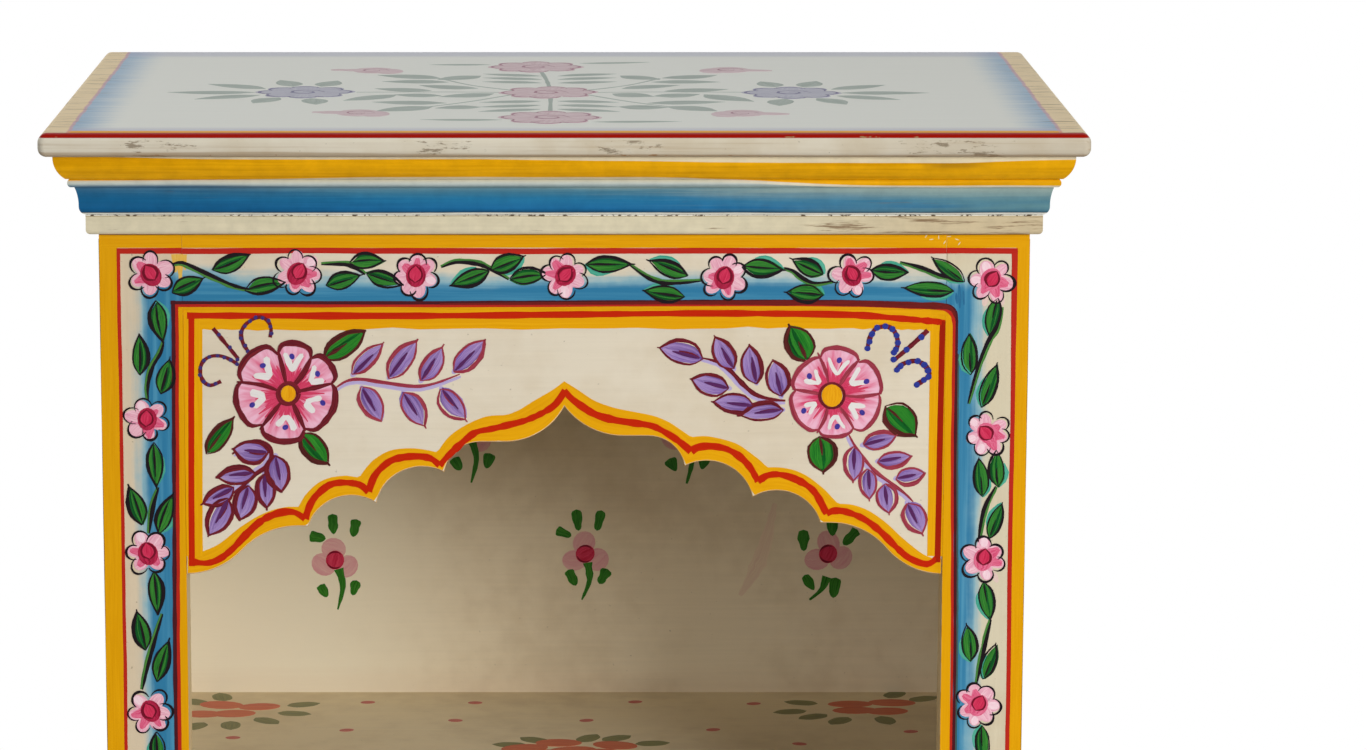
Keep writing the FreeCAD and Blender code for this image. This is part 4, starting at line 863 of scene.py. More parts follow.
def great_flower(film, middle, petals, heart, line, thick, ring, level=2):
    for index, (notch, notch_reach, crown, reach) in enumerate(petals):
        after, after_reach = petals[(index + 1) % len(petals)][:2]
        after += 360 if after < notch else 0
        crown += 360 if crown < notch else 0
        rim = trace([
            from_middle(middle, notch, notch_reach),
            from_middle(middle, notch + (crown - notch) * 0.32, notch_reach * 0.18 + reach * 0.82),
            from_middle(middle, crown, reach),
            from_middle(middle, after - (after - crown) * 0.32, after_reach * 0.18 + reach * 0.82),
            from_middle(middle, after, after_reach),
        ], 4)
        last = len(rim) - 1
        turns = [notch + (after - notch) * step / last for step in range(last + 1)]
        lay(film, rim, [from_middle(middle, turn, heart) for turn in turns], level, PETAL)
        for share in (0.1, 0.24, 0.38, 0.52, 0.66, 0.8, 0.92):
            heading = notch + (after - notch) * (share + hand.uniform(-0.05, 0.05))
            far = from_middle(middle, heading, reach * hand.uniform(0.4, 0.78))
            run = trace([from_middle(middle, heading, heart), far], 4)
            stroke(film, run, hand.uniform(1.4, 3.2), tapering, level + 1, STREAK)
        apex = from_middle(middle, crown + hand.uniform(-8, 8), reach * hand.uniform(0.4, 0.48))
        for splay in (-1, 1):
            arm = from_middle(apex, crown + splay * hand.uniform(22, 40), reach * hand.uniform(0.28, 0.42))
            mark = trace([apex, apex.lerp(arm, 0.5) + jitter(0.6), arm], 4)
            stroke(film, mark, thick * hand.uniform(0.9, 1.25), rounded, level + 2, CHALK)
        spot = from_middle(middle, crown + hand.uniform(-6, 6), reach * hand.uniform(0.68, 0.76))
        dab(film, spot, 3.0, 2.5, hand.uniform(0, 3), level + 3, VIOLET_DOT)
        halfway = from_middle(middle, notch + hand.uniform(-5, 5), (heart + notch_reach) / 2)
        end = from_middle(middle, notch + hand.uniform(-2, 2), notch_reach + hand.uniform(0.5, 3.5))
        spoke = trace([from_middle(middle, notch, heart), halfway, end], 4)
        stroke(film, spoke, thick * hand.uniform(0.75, 1.05), swelling, level + 4, line)
        stroke(film, rim, thick * hand.uniform(0.95, 1.2), swelling, level + 4, line)
    round_heart = [from_middle(middle, 20 * step, heart + ring * 0.4) for step in range(19)]
    stroke(film, round_heart, ring, even, level + 5, MAROON)
    dab(film, middle, heart * 2.05, heart * 1.85, 1.6, level + 6, HEART_YELLOW)


def spray_leaf(film, base, tip, width, line, thick):
    toward = Vector(tip) - Vector(base)
    dab(film, Vector(base) + toward * 0.06, 4.6, 2.8, math.atan2(toward.y, toward.x), 0.5, SPRAY_SHADE)
    covered = hand.uniform(0.74, 1.0)
    leaf(film, base, tip, width * 1.14, (SPRAY_FILL, SPRAY_LIGHT, line), 2, thick, 0.3, covered)
    spine = leaf_sides(base, tip, width, 0.0, 0.3)[1]
    stroke(film, spine[1:7], 1.9, swelling, 5, PLUM)


def spray(film, points, leaves, line, thick=1.15, stalk=1.9):
    path = trace(points, 4)
    stroke(film, path, 3.0, swelling, 0.6, SPRAY_SHADE, -1.3)
    stroke(film, path, stalk, swelling, 2, line)
    for base, tip, width in leaves:
        spray_leaf(film, base, tip, width, line, thick)


def scroll(film, points, width, dot, apart, pot):
    line = trace(points, 4)
    stroke(film, line, width, even, 4, MAROON)
    for spot in line[::apart]:
        dab(film, spot + jitter(0.4), dot * hand.uniform(0.9, 1.15), dot, hand.uniform(0, 3), 5, pot)


LEFT_PETALS = [(13, 21.5, 35, 25), (57, 20.4, 81, 25), (104, 19.6, 136, 26.5), (165, 23, 194, 25.6),
               (230, 20, 259, 24), (294, 18.8, 339, 23)]
RIGHT_PETALS = [(1, 22.8, 28, 24.6), (52, 20.7, 80, 23.7), (107, 19.5, 141, 20.5), (172, 17.8, 214, 20.5),
                (249, 17.9, 280, 20.6), (302.5, 19.2, 332, 23.7)]
PANEL_LEAVES = [
    ((-173.5, 441), (-160.5, 458.5), 7.7), ((-127, 450.5), (-114.5, 435.5), 10.2),
    ((-116, 488), (-96, 501.5), 9.7), ((117, 486.5), (108.5, 503.5), 12.5),
    ((155.5, 464), (170, 449.5), 13.0), ((123.5, 449.5), (125.5, 432), 13.0),
]
panel_flowers = new_film()
spray(
    panel_flowers,
    [(-111.5, 472.5), (-105.5, 476.5), (-98.5, 477.5), (-88, 476), (-72.5, 474), (-62.5, 475.5),
     (-50.5, 480)],
    [
        ((-102.5, 479.5), (-87.5, 494.5), 6.8), ((-85, 478), (-71.5, 496.5), 8.7),
        ((-69.5, 476.5), (-59, 493), 8.2), ((-53.5, 481), (-38.5, 496.5), 8.7),
        ((-98, 473.5), (-88.5, 456.5), 9.2), ((-78, 471), (-68, 454.5), 9.2),
        ((-59.5, 473), (-47.5, 458), 9.2),
    ],
    ROSEWOOD,
)
spray(
    panel_flowers,
    [(-161, 440.5), (-155.5, 445.5), (-149, 447), (-143.5, 444.5), (-142, 439.5), (-144.5, 434.5),
     (-150, 430.5), (-157, 424), (-165, 418.5)],
    [
        ((-143.5, 441.5), (-160.5, 443), 9.7), ((-150.5, 431.5), (-168.5, 429.5), 7.3),
        ((-160.5, 424), (-175.5, 416), 7.3), ((-163, 419), (-172.5, 400.5), 9.7),
        ((-153.5, 425), (-158, 408), 9.2), ((-145.5, 431), (-145, 414), 7.7),
        ((-140, 440), (-137, 422), 9.7),
    ],
    MAROON, 1.55, 2.6,
)
spray(
    panel_flowers,
    [(66.5, 488), (74, 486), (80, 482), (86, 475.5), (92.5, 470), (101, 467.5), (107, 467)],
    [
        ((66.5, 487.5), (45.5, 493), 10.2), ((82, 482.5), (73, 498), 8.7),
        ((93, 475.5), (89.5, 494.5), 8.7), ((105, 469), (101, 486.5), 9.7),
        ((80, 473), (62, 477.5), 9.2), ((92, 464.5), (72.5, 466.5), 8.2),
        ((106, 462.5), (85.5, 460), 7.7),
    ],
    MAROON, 1.2, 2.4,
)
spray(
    panel_flowers,
    [(138, 450), (141, 444.5), (146.5, 437), (151.5, 431.5), (159, 426), (165.5, 421), (169.5, 417)],
    [
        ((144.5, 445), (160.5, 449.5), 7.3), ((152, 437), (168.5, 440), 6.8),
        ((161, 428.5), (175, 431.5), 7.3), ((140.5, 444.5), (140.5, 427.5), 8.2),
        ((147.5, 433.5), (148.5, 418.5), 7.3), ((155.5, 425.5), (157.5, 411), 8.7),
        ((166.5, 416.5), (174, 401.5), 9.7),
    ],
    ROSEWOOD,
)
for base, tip, width in PANEL_LEAVES:
    leaf(panel_flowers, base, tip, width * 1.06, PANEL_LEAF, 2, 1.35, 0.35)
great_flower(panel_flowers, (-133.5, 470.5), LEFT_PETALS, 3.9, MAROON, 2.8, 2.5)
great_flower(panel_flowers, (129.5, 469.5), RIGHT_PETALS, 5.4, ROSEWOOD, 2.1, 1.5)
for points in (
    [(-152.5, 491), (-155, 495), (-156, 499.5), (-154.5, 503.5), (-151, 506.5), (-146.5, 508), (-143, 506),
     (-141.5, 502.5), (-142, 498)],
    [(-157.5, 487.5), (-163.5, 495), (-169.5, 502.5)],
    [(-158, 485), (-162, 487.5), (-166.5, 489), (-171.5, 488.5), (-175, 485.5), (-176, 481), (-174.5, 476.5),
     (-171, 474.5), (-166, 476.5)],
):
    scroll(panel_flowers, points, 1.8, 1.9, 3, SCROLL_DUSK)
for points in (
    [(146.5, 493), (147.5, 497.5), (150, 502), (155, 503.5), (159, 501.5), (161, 496.5), (160.5, 492.5),
     (158.5, 490)],
    [(159.5, 487), (167.5, 494), (175.5, 501.5)],
    [(160.5, 482), (163.5, 485), (169.5, 486.5), (174, 484.5), (176.5, 480.5), (174.5, 477.5), (170.5, 475)],
):
    scroll(panel_flowers, points, 2.3, 3.0, 3, SCROLL_BLUE)
dry(panel_flowers, "panel_flowers", facing_front(PANEL_FACE), "cabinet")


# Side frames: back posts, side rails and a thin panel held in their grooves,
# painted like the front, with a blue wash on the frame round the panel and a
# flower with four sprays on the panel. The photograph hides them.
SIDE_FACE = 0.224
SIDE_PANEL_FACE = 0.2194
SIDE_WASH = ((-0.133, 0.141), (0.094, 0.519))


def side_wash(tree, ground, strokes):
    spot = parts_of(here(tree))
    gaps = []
    for axis, (low, high) in zip((1, 2), SIDE_WASH):
        gaps += [minus(spot[axis], high), minus(low, spot[axis])]
    outside = ease(size_of(spot[0]), SIDE_FACE - 0.002, SIDE_FACE - 0.0006)
    return wash_over(tree, ground, strokes, most(*gaps), outside)


def facing_side(side, face):
    turn = Matrix.Rotation(side * math.pi / 2, 4, "Z")
    return Matrix.Translation((side * face, 0, 0)) @ turn @ Matrix.Rotation(math.pi / 2, 4, "X")


def branch(film, points, places, heading, splay, reach, width):
    line = trace(points, 6)
    leaves = []
    for place in places:
        for away in (heading - splay, heading + splay):
            leaves.append((from_middle(line[place], away, 2), from_middle(line[place], away, reach), width))
    spray(film, points, leaves, ROSEWOOD)


def even_petals(notch, crown):
    return [(turn, notch, turn + 30, crown) for turn in range(0, 360, 60)]


SIDE_STROKES = (520, 14, 520)
SIDE_FRONT = -127
SIDE_BACK = 135
SIDE_LOW = 98
SIDE_TOP = 515
SIDE_VINE = 156
SIDE_RAIL_VINE = 529
for side, label in ((-1, "left"), (1, "right")):
    board_paint("back_post_" + label, UPRIGHT_STROKES, 0.6, 0.0016, side_wash)
    for level in ("top", "bottom"):
        board_paint(f"side_rail_{level}_{label}", SIDE_STROKES, 0.6, 0.0012, side_wash)
    board_paint("side_panel_" + label, UPRIGHT_STROKES, 0.5, 0.0)
    lines = new_film()
    front = SIDE_FRONT * side
    back = SIDE_BACK * side
    for across in (front - 3 * side, back + 3 * side):
        upright(lines, across, SIDE_LOW, SIDE_TOP, 3.2, 1, YELLOW)
    for across in (front - 5.4 * side, back + 5.4 * side):
        upright(lines, across, SIDE_LOW - 2, SIDE_TOP + 2, 1.6, 2, RED)
    for yellow, red in ((SIDE_TOP, 517.4), (SIDE_LOW, 95.6)):
        level_line(lines, yellow, front, back, 3.2, 1, YELLOW)
        level_line(lines, red, front - 5 * side, back + 5 * side, 1.6, 2, RED)
    for across in (-146.5 * side, 172.5 * side):
        upright(lines, across, FOOT_END, 546, 4.0, 1, YELLOW)
    upright(lines, 169 * side, FOOT_END, 540, 1.5, 2, RED)
    level_line(lines, 545.2, front, back, 4.6, 1, YELLOW)
    level_line(lines, 541, front, back, 2.0, 2, RED)
    for high in range(536, 24, -64):
        vine_run(lines, (SIDE_VINE * side, high), (SIDE_VINE * side, high - 64), 9.0, 0.8)
    for start in range(-118, 122, 60):
        vine_run(lines, (start * side, SIDE_RAIL_VINE), ((start + 60) * side, SIDE_RAIL_VINE), 8.6, 0.8)
    dry(lines, "side_lines_" + label, facing_side(side, SIDE_FACE), "cabinet")
    painting = new_film()
    for across in (front + 3 * side, back - 3 * side):
        upright(painting, across, SIDE_LOW + 6, SIDE_TOP - 6, 2.6, 2, PANEL_RED)
    for across in (front + 6.5 * side, back - 6.5 * side):
        upright(painting, across, SIDE_LOW + 9, SIDE_TOP - 9, 4.2, 1, PANEL_YELLOW)
    for red, yellow in ((SIDE_TOP - 6, 505.5), (SIDE_LOW + 6, 107.5)):
        level_line(painting, red, front + 3 * side, back - 3 * side, 2.6, 2, PANEL_RED)
        level_line(painting, yellow, front + 6 * side, back - 6 * side, 4.2, 1, PANEL_YELLOW)
    middle = (4 * side, 306)
    for turn in (90, 270):
        for lean in (-1, 1):
            foot = from_middle(middle, turn, 22)
            bend = from_middle(foot, turn + 16 * lean, 45)
            tip = from_middle(bend, turn + 34 * lean, 52)
            branch(painting, [foot, bend, tip], (3, 5, 7, 9, 11), turn + 25 * lean, 52, 19, 9)
        for lean in (-1, 1):
            base = from_middle(middle, turn + 52 * lean, 24)
            leaf(painting, base, from_middle(base, turn + 52 * lean, 20), 11, PANEL_LEAF, 2, 1.3)
    great_flower(painting, middle, even_petals(20, 25), 4.8, MAROON, 2.4, 2.0)
    dry(painting, "side_flowers_" + label, facing_side(side, SIDE_PANEL_FACE), "cabinet")


# Back of the cabinet: a thin panel grooved between two rails, cream inside the
# niche with loose sprigs drawn without outlines, and plain on the wall side.
# Its cream is painted lighter than the front's, standing in for light. Inside
# the niche it is painted paler on the left as painted light, and darker and
# warmer along its foot by the floor as painted shade.
BRIGHTENED_CREAM = tone(232, 217, 187)
NICHE_STAIN = tone(190, 168, 134)
NICHE_FACE = 0.1591
NICHE_LIT_PALE = tone(237, 227, 201)
NICHE_CORNER_SHADE = tone(206, 168, 138)
CORNER_SHADE_SHARE = 0.15
CORNER_SHADE_RISE = (0.254, 0.236)


def niche_light_and_shade(tree, ground, strokes):
    place = here(tree)
    spot = parts_of(place)
    streaks = speckle(stretched(place, strokes), 0.5, 4.0)
    inside = ease(spot[1], NICHE_FACE + 0.001, NICHE_FACE + 0.0004)
    # Paler on the left, where the key light falls through the opening: painted light.
    left = times(ease(spot[0], -0.03, -0.15), inside)
    colour = mingle(left, ground, NICHE_LIT_PALE)
    # Darker and warmer along the foot where the panel meets the floor: painted shade in the corner.
    foot = ease(scaled(streaks, -0.02, spot[2]), *CORNER_SHADE_RISE)
    return mingle(times(foot, inside, CORNER_SHADE_SHARE), colour, NICHE_CORNER_SHADE)


board_paint("back_panel", LEVEL_STROKES, 0.35, 0.0, niche_light_and_shade, BRIGHTENED_CREAM, NICHE_STAIN)
for node in ("back_rail_top", "back_rail_bottom"):
    board_paint(node, LEVEL_STROKES, 0.8, 0.0012, None, BRIGHTENED_CREAM, NICHE_STAIN)

MAUVE = paint_pot("sprig_mauve", (214, 150, 154), (222, 176, 170), 0.9)
SPRIG_RED = paint_pot("sprig_crimson", (180, 26, 58), (212, 66, 94), 0.9)
SPRIG_GREEN = paint_pot("sprig_green", (22, 84, 14), (66, 134, 44), 0.9)


def drop(share):
    return math.sqrt(share * max(1 - share ** 5, 0)) * 1.1


LEFT_STEM = [(2, -5), (4.2, -15), (1.3, -28)]
LEFT_LEAVES = [
    ((-0.6, 14.5), (-1.2, 26)), ((10, 13), (12, 23)), ((-5, 12), (-14, 13.6)),
    ((-4.5, -21), (-8.4, -14)), ((9.6, -20), (11.8, -11.5)),
]
MIDDLE_STEM = [(1.4, -5), (2.4, -15), (-1.8, -26)]
MIDDLE_LEAVES = [
    ((-3.6, 13), (-5, 25)), ((6.4, 13), (9, 24.5)), ((-7.6, 10), (-16, 13.4)),
    ((-5, -18), (-9.4, -9)), ((7.8, -17), (12.4, -8.6)),
]
RIGHT_STEM = [(-0.6, -13), (-3.4, -20), (-10, -26)]
RIGHT_LEAVES = [
    ((2.4, 10), (2, 21)), ((8.4, 5), (16, 13.6)), ((-13.4, 1.5), (-13.8, 13.6)),
    ((-7.6, -20.5), (-13, -12)), ((3, -25), (4.4, -13.4)),
]


def sprig(film, middle, stalk, leaves):
    middle = Vector(middle)
    for angle, reach in ((92, 6.2), (205, 6.8), (335, 7.4)):
        spot = from_middle(middle, angle + hand.uniform(-8, 8), reach)
        dab(film, spot, hand.uniform(12.8, 14.4), hand.uniform(11.6, 12.8), hand.uniform(0, 3), 1, MAUVE)
    dab(film, middle, 10.8, 10.2, hand.uniform(0, 3), 2, SPRIG_RED)
    for turn in (0.4, 2.6):
        stroke(film, ring_part(middle, 4.6, turn + hand.uniform(0, 1), 1.8, 7), 1.0, swelling, 3, WINE)
    stroke(film, trace([middle + Vector(point) for point in stalk], 6), 5.0, tapering, 1.6, SPRIG_GREEN)
    for point, end in leaves:
        line = trace([middle + Vector(point), middle + Vector(end)], 9)
        stroke(film, line, hand.uniform(6.6, 7.6), drop, 1.5, SPRIG_GREEN)


niche_sprigs = new_film()
for middle in ((-126.5, 320), (-52.5, 391.5), (66, 391), (-170, 392), (180, 391)):
    sprig(niche_sprigs, middle, LEFT_STEM, LEFT_LEAVES)
sprig(niche_sprigs, (11.5, 323.5), MIDDLE_STEM, MIDDLE_LEAVES)
sprig(niche_sprigs, (145.5, 323.5), RIGHT_STEM, RIGHT_LEAVES)
SMEAR = paint_pot("niche_smear", (222, 194, 172), (230, 210, 182), 0.9)
SMEARS = [[(97, 300), (104, 312), (112, 335), (116, 352)], [(99, 303), (108, 318), (115, 340)]]
for points in SMEARS:
    stroke(niche_sprigs, trace(points, 6), 6.5, swelling, 0.4, SMEAR)
dry(niche_sprigs, "niche_sprigs", facing_front(NICHE_FACE), "cabinet")


# Niche floor: a board laid on the kickers above the drawer, painted cream and
# strewn with orange-red flowers, grey-green leaves and small red dashes. Its
# cream is painted lighter than the front's, standing in for light on the floor.
FLOOR_BRIGHTENED_CREAM = tone(240, 224, 188)
board_paint("niche_floor", LEVEL_STROKES, 0.35, 0.0, None, FLOOR_BRIGHTENED_CREAM, NICHE_STAIN)
FLOOR_RED = paint_pot("floor_red", (204, 84, 60), (224, 128, 92), 0.9)
FLOOR_GREEN = paint_pot("floor_green", (112, 116, 74), (146, 146, 98), 0.9)
FLOOR_DASH = paint_pot("floor_dash", (194, 82, 84), (214, 124, 110), 0.9)
FLOOR_PETALS = [
    (-197, 110), (-180, 111), (-167, 126), (-188, 130), (157, 132), (159, 118), (180, 135), (176, 116),
    (-21, 37), (-3, 48), (27, 43), (4, 32), (-12, 26), (18, 28),
]
FLOOR_LEAVES = [
    (-189, 148), (-203, 137), (-143, 131), (-147, 111), (-161, 95), (-180, 85), (-199, 83), (130, 135),
    (123, 115), (135, 104), (149, 95), (174, 96), (183, 154), (198, 144), (-16, 54), (-29, 44),
    (13, 58), (28, 58), (47, 47), (-40, 22), (44, 24), (2, 4),
]
FLOOR_DASHES = [
    (-108, 136), (-49, 135), (-59, 96), (-117, 75), (-177, 59), (39, 137), (12, 96), (80, 76), (125, 46),
    (104, 133), (186, 72), (-90, 20), (90, -10), (-150, -30), (150, -60), (0, -50), (-60, -80),
]
FLOOR_HEARTS = ((-182, 117), (168, 125), (3, 40))
niche_flowers = new_film()
for spot in FLOOR_PETALS:
    length = hand.uniform(21, 27)
    width = hand.uniform(14, 17)
    dab(niche_flowers, spot, length, width, hand.uniform(-0.3, 0.3), 2, FLOOR_RED)
for spot in FLOOR_LEAVES:
    heart = min(FLOOR_HEARTS, key=lambda middle: (Vector(middle) - Vector(spot)).length)
    away = (Vector(spot) - Vector(heart)).normalized()
    sides = leaf_sides(Vector(spot) - away * 9.5, Vector(spot) + away * 9.5, 11, 0.0, 0.6)[0]
    lay(niche_flowers, *sides, 1, FLOOR_GREEN)
for spot in FLOOR_DASHES:
    dab(niche_flowers, spot, 8, 6.2, hand.uniform(-0.4, 0.4), 1, FLOOR_DASH)
FLOOR_STAND = Matrix.Translation((0, 0, 0.245))
dry(niche_flowers, "niche_flowers", FLOOR_STAND, "cabinet")


# Top board: one wide board with rounded arrises, screwed on from below through
# two cleats, cream under a thin lacquer coat, its flat painted pale grey as a
# painted sheen, with a blue wash at its ends, a red and a yellow line along the
# front, worn ends and a spread of rosettes, buds and leaves in pale greyed
# colours that paint the same sheen.
SLAB_CREAM = tone(206, 198, 180)
SLAB_STAIN = tone(184, 168, 140)
SHEEN_GREY_LOW = tone(209, 211, 204)
SHEEN_GREY_HIGH = tone(222, 223, 216)
TOP_RED = tone(146, 12, 0)
SLAB_DULL = tone(170, 156, 134)
TOP_YELLOW = tone(222, 158, 44)
RIM_BLUE = tone(128, 162, 190)
RIM_LILAC = tone(164, 166, 190)
END_STRIP = tone(220, 200, 162)
GRIME = tone(104, 88, 66)
SHADE_AND_GRAIN_BROWN = tone(146, 116, 78)
PINK_LINE = tone(204, 148, 150)
SCUFF_PLACES = (0.176, 0.196, -0.057, 0.03, -0.195)
FLAT_RISE = (0.5982, 0.5988)
RED_RISE = (0.5982, 0.5986)
SLAB_DROP = (0.5976, 0.597)
YELLOW_BACK = (-0.1594, -0.16)
YELLOW_FRONT = (-0.1676, -0.167)
RED_BACK = (-0.1662, -0.1668)
STRIP_EDGE = (0.2364, 0.2372)
RIM_WASH = (0.213, 0.238)
RIM_HAZE = (0.143, 0.157)
PINK_START = (0.235, 0.2358)
PINK_END = (0.2376, 0.2368)
SPLIT_ENDS = (0.226, 0.239)
SHADE_LINE_TOP = (0.591, 0.59)
VARNISH_FRONT = (-0.161, -0.158)
COAT_SHARE = 0.05
COAT_ROUGH = 0.6
TOP_SHINE = 0.03


def top_rim(tree, ground, strokes):
    place = here(tree)
    spot = parts_of(place)
    streaks = speckle(stretched(place, strokes), 1.0, 4.0)
    drift = scaled(speckle(stretched(place, (6, 60, 60)), 1.0), 0.0024, -0.0012)
    flat = ease(spot[2], *FLAT_RISE)
    ground = mingle(times(ease(spot[0], 0.1, 0.2), 0.4), ground, SLAB_DULL)
    # The flat top is painted pale grey: a painted sheen, the lacquer's grazing reflection put into its
    # colour.
    colour = mingle(flat, ground, mingle(streaks, SHEEN_GREY_LOW, SHEEN_GREY_HIGH))
    end = plus(size_of(spot[0]), scaled(streaks, 0.034, -0.017))
    colour = mingle(times(ease(end, *RIM_WASH), flat, 0.85), colour, RIM_BLUE)
    long_side = plus(size_of(spot[1]), drift)
    colour = mingle(times(ease(long_side, *RIM_HAZE), flat, 0.5), colour, RIM_LILAC)
    near = plus(spot[1], drift)
    colour = mingle(times(ease(near, *YELLOW_BACK), ease(near, *YELLOW_FRONT), flat), colour, TOP_YELLOW)
    tip = plus(size_of(spot[0]), drift)
    colour = mingle(times(ease(tip, *STRIP_EDGE), flat), colour, END_STRIP)
    line = times(ease(tip, *PINK_START), ease(tip, *PINK_END))
    colour = mingle(times(line, flat, 0.6), colour, PINK_LINE)
    colour = mingle(times(ease(near, *RED_BACK), ease(spot[2], *RED_RISE)), colour, TOP_RED)
    cracks = speckle(stretched(place, (16, 300, 460)), 1.0, 5.0, 0.7)
    split = times(ease(cracks, 0.55, 0.63), ease(tip, *SPLIT_ENDS))
    below = ease(spot[2], *SLAB_DROP)
    zones = [ease(size_of(minus(spot[0], middle)), 0.03, 0.004) for middle in SCUFF_PLACES]
    scuffs = speckle(stretched(place, (70, 200, 260)), 1.0, 5.0, 0.72)
    rubbed = plus(scuffs, scaled(most(*zones), 0.15, -0.08))
    worn = times(ease(rubbed, 0.58, 0.66), below)
    colour = mingle(most(times(split, flat), times(worn, 0.7)), colour, GRIME)
    # A brown line along the slab's lower arris, stronger to the left: painted shadow where the slab sits on
    # the cornice, with dirt. The grain on the lower rounding takes the same brown.
    lower = scaled(ease(spot[0], -0.02, -0.14), -0.0012, spot[2])
    contact_shade = times(ease(plus(lower, drift), *SHADE_LINE_TOP), streaks)
    grain = ease(speckle(stretched(place, (9, 700, 900)), 1.0, 5.0, 0.7), 0.5, 0.74)
    return mingle(most(contact_shade, times(grain, 0.4, below)), colour, SHADE_AND_GRAIN_BROWN)


tree, shader = board_paint("top_board", LEVEL_STROKES, 0.6, 0.0018, top_rim, SLAB_CREAM, SLAB_STAIN)
varnish = times(ease(parts_of(here(tree))[1], *VARNISH_FRONT), COAT_SHARE)
tree.links.new(varnish, shader.inputs["Coat Weight"])
shader.inputs["Coat Roughness"].default_value = COAT_ROUGH
shader.inputs["Specular IOR Level"].default_value = TOP_SHINE

# The top's flowers and leaves are painted in pale, greyed colours: painted sheen, as the lacquer's
# reflection would wash them out.
TOP_PINK = paint_pot("top_pink", (196, 172, 177), (214, 199, 201), 0.9)
TOP_PINK_LINE = paint_pot("top_pink_line", (160, 122, 134), (178, 150, 158), 0.7)
TOP_PURPLE = paint_pot("top_purple", (170, 170, 184), (192, 192, 199), 0.9)
TOP_PURPLE_LINE = paint_pot("top_purple_line", (118, 116, 142), (142, 140, 160), 0.7)
TOP_LEAF = paint_pot("top_leaf", (154, 164, 157), (178, 186, 180), 0.8)
for pot in (TOP_PINK, TOP_PINK_LINE, TOP_PURPLE, TOP_PURPLE_LINE, TOP_LEAF):
    tree = pots[pot].node_tree
    sockets = tree.nodes["Principled BSDF"].inputs
    tree.links.remove(sockets["Roughness"].links[0])
    sockets["Roughness"].default_value = 0.7
    sockets["Coat Weight"].default_value = COAT_SHARE
    sockets["Coat Roughness"].default_value = COAT_ROUGH
    sockets["Specular IOR Level"].default_value = TOP_SHINE


def rosette(film, middle, radius, fill, line):
    for step in range(8):
        angle = 45 * step + hand.uniform(-6, 6)
        spot = from_middle(middle, angle, radius * 0.62)
        turn = math.radians(angle)
        dab(film, spot, radius * 0.8, radius * 0.62, turn, 2, fill)
        arc = [from_middle(spot, angle - 80 + 32 * part, radius * 0.32) for part in range(6)]
        stroke(film, arc, 1.6, swelling, 3, line)
    dab(film, middle, radius * 0.9, radius * 0.86, 0, 3, fill)
    swirl = [from_middle(middle, 48 * step, radius * (0.4 - 0.03 * step)) for step in range(11)]
    stroke(film, swirl, 1.8, swelling, 4, line)


TOP_MIDDLE = Vector((-7.5, -9.5))
TOP_SPRIG_STEMS = [
    [(18, 8), (40, 30), (57, 60)],
    [(20, 0), (55, 2), (98, 1)],
    [(18, -8), (40, -38), (61, -60)],
]
TOP_SPRIG_LEAVES = [
    ((36, 71), (52, 57)), ((57, 60), (81, 71)), ((52, 42), (78, 45)), ((36, 16), (60, 26)),
    ((30, -4), (48, -15)), ((53, -14), (71, -10)), ((59, 6), (82, 13)), ((77, -10), (96, -29)),
    ((35, -59), (52, -62)), ((49, -43), (78, -41)), ((58, -58), (77, -71)),
]
SPRIG_REACH = 1.35
ROSETTE_SPAN = 122.5
ROSETTE_SIZE = 25
ROSETTE_LEAVES = (106, 73, 34, 0, -28, -62, -99)


def plain_leaf(film, base, tip, width):
    lay(film, *leaf_sides(base, tip, width, hand.uniform(-0.2, 0.2))[0], 1, TOP_LEAF)


def on_top(side, spot):
    return TOP_MIDDLE + Vector((side * spot[0], spot[1])) + jitter(2)


top_flowers = new_film()
stroke(top_flowers, trace([(-14, 100), (-9, 40), (-7, -20), (-7, -110)], 8), 2.2, even, 0.6, TOP_LEAF)
for side in (-1, 1):
    for row in (70, 55, 40, -36, -52, -68):
        base = TOP_MIDDLE + Vector((side * 4, row))
        plain_leaf(top_flowers, base, base + Vector((side * 31, row * 0.14)), 10.5)
    for points in TOP_SPRIG_STEMS:
        line = trace([TOP_MIDDLE + Vector((side * along, up)) for along, up in points], 5)
        stroke(top_flowers, line, 1.7, even, 0.6, TOP_LEAF)
    for base, tip in TOP_SPRIG_LEAVES:
        far = Vector(base) + (Vector(tip) - Vector(base)) * SPRIG_REACH
        plain_leaf(top_flowers, on_top(side, base), on_top(side, far), hand.uniform(14, 18))
    middle = on_top(side, (ROSETTE_SPAN, 0))
    for angle in ROSETTE_LEAVES:
        heading = angle if side > 0 else 180 - angle
        reach = 70 if angle == 0 else hand.uniform(50, 55) + 8 * (abs(angle) < 40)
        base = from_middle(middle, heading, ROSETTE_SIZE)
        plain_leaf(top_flowers, base, from_middle(middle, heading, reach), 14)
    rosette(top_flowers, middle, ROSETTE_SIZE, TOP_PURPLE, TOP_PURPLE_LINE)
    heading = 180 if side < 0 else 0
    for up in (96, -83):
        bud = on_top(side, (94, up))
        dab(top_flowers, bud, 22, 26, 0, 2, TOP_PINK)
        dab(top_flowers, bud - Vector((side * 8, 4)), 15, 22, 0, 2, TOP_PINK)
        point = trace([bud, from_middle(bud, heading - 8, 23)], 6)
        stroke(top_flowers, point, 18, tapering, 2, TOP_PINK)
        curl = [from_middle(bud, 36 * step, 8 - 0.5 * step) for step in range(11)]
        stroke(top_flowers, curl, 1.1, swelling, 3, TOP_PINK_LINE)
for middle in ((-15, 101), (-8, -10), (-7, -110)):
    rosette(top_flowers, middle, ROSETTE_SIZE, TOP_PINK, TOP_PINK_LINE)
LONE_LEAVES = [((-39, 112), (-72, 112)), ((8, 118), (46, 123)), ((-30, -119), (-70, -118)),
               ((13, -127), (57, -125))]
for base, tip in LONE_LEAVES:
    plain_leaf(top_flowers, base, tip, 7)
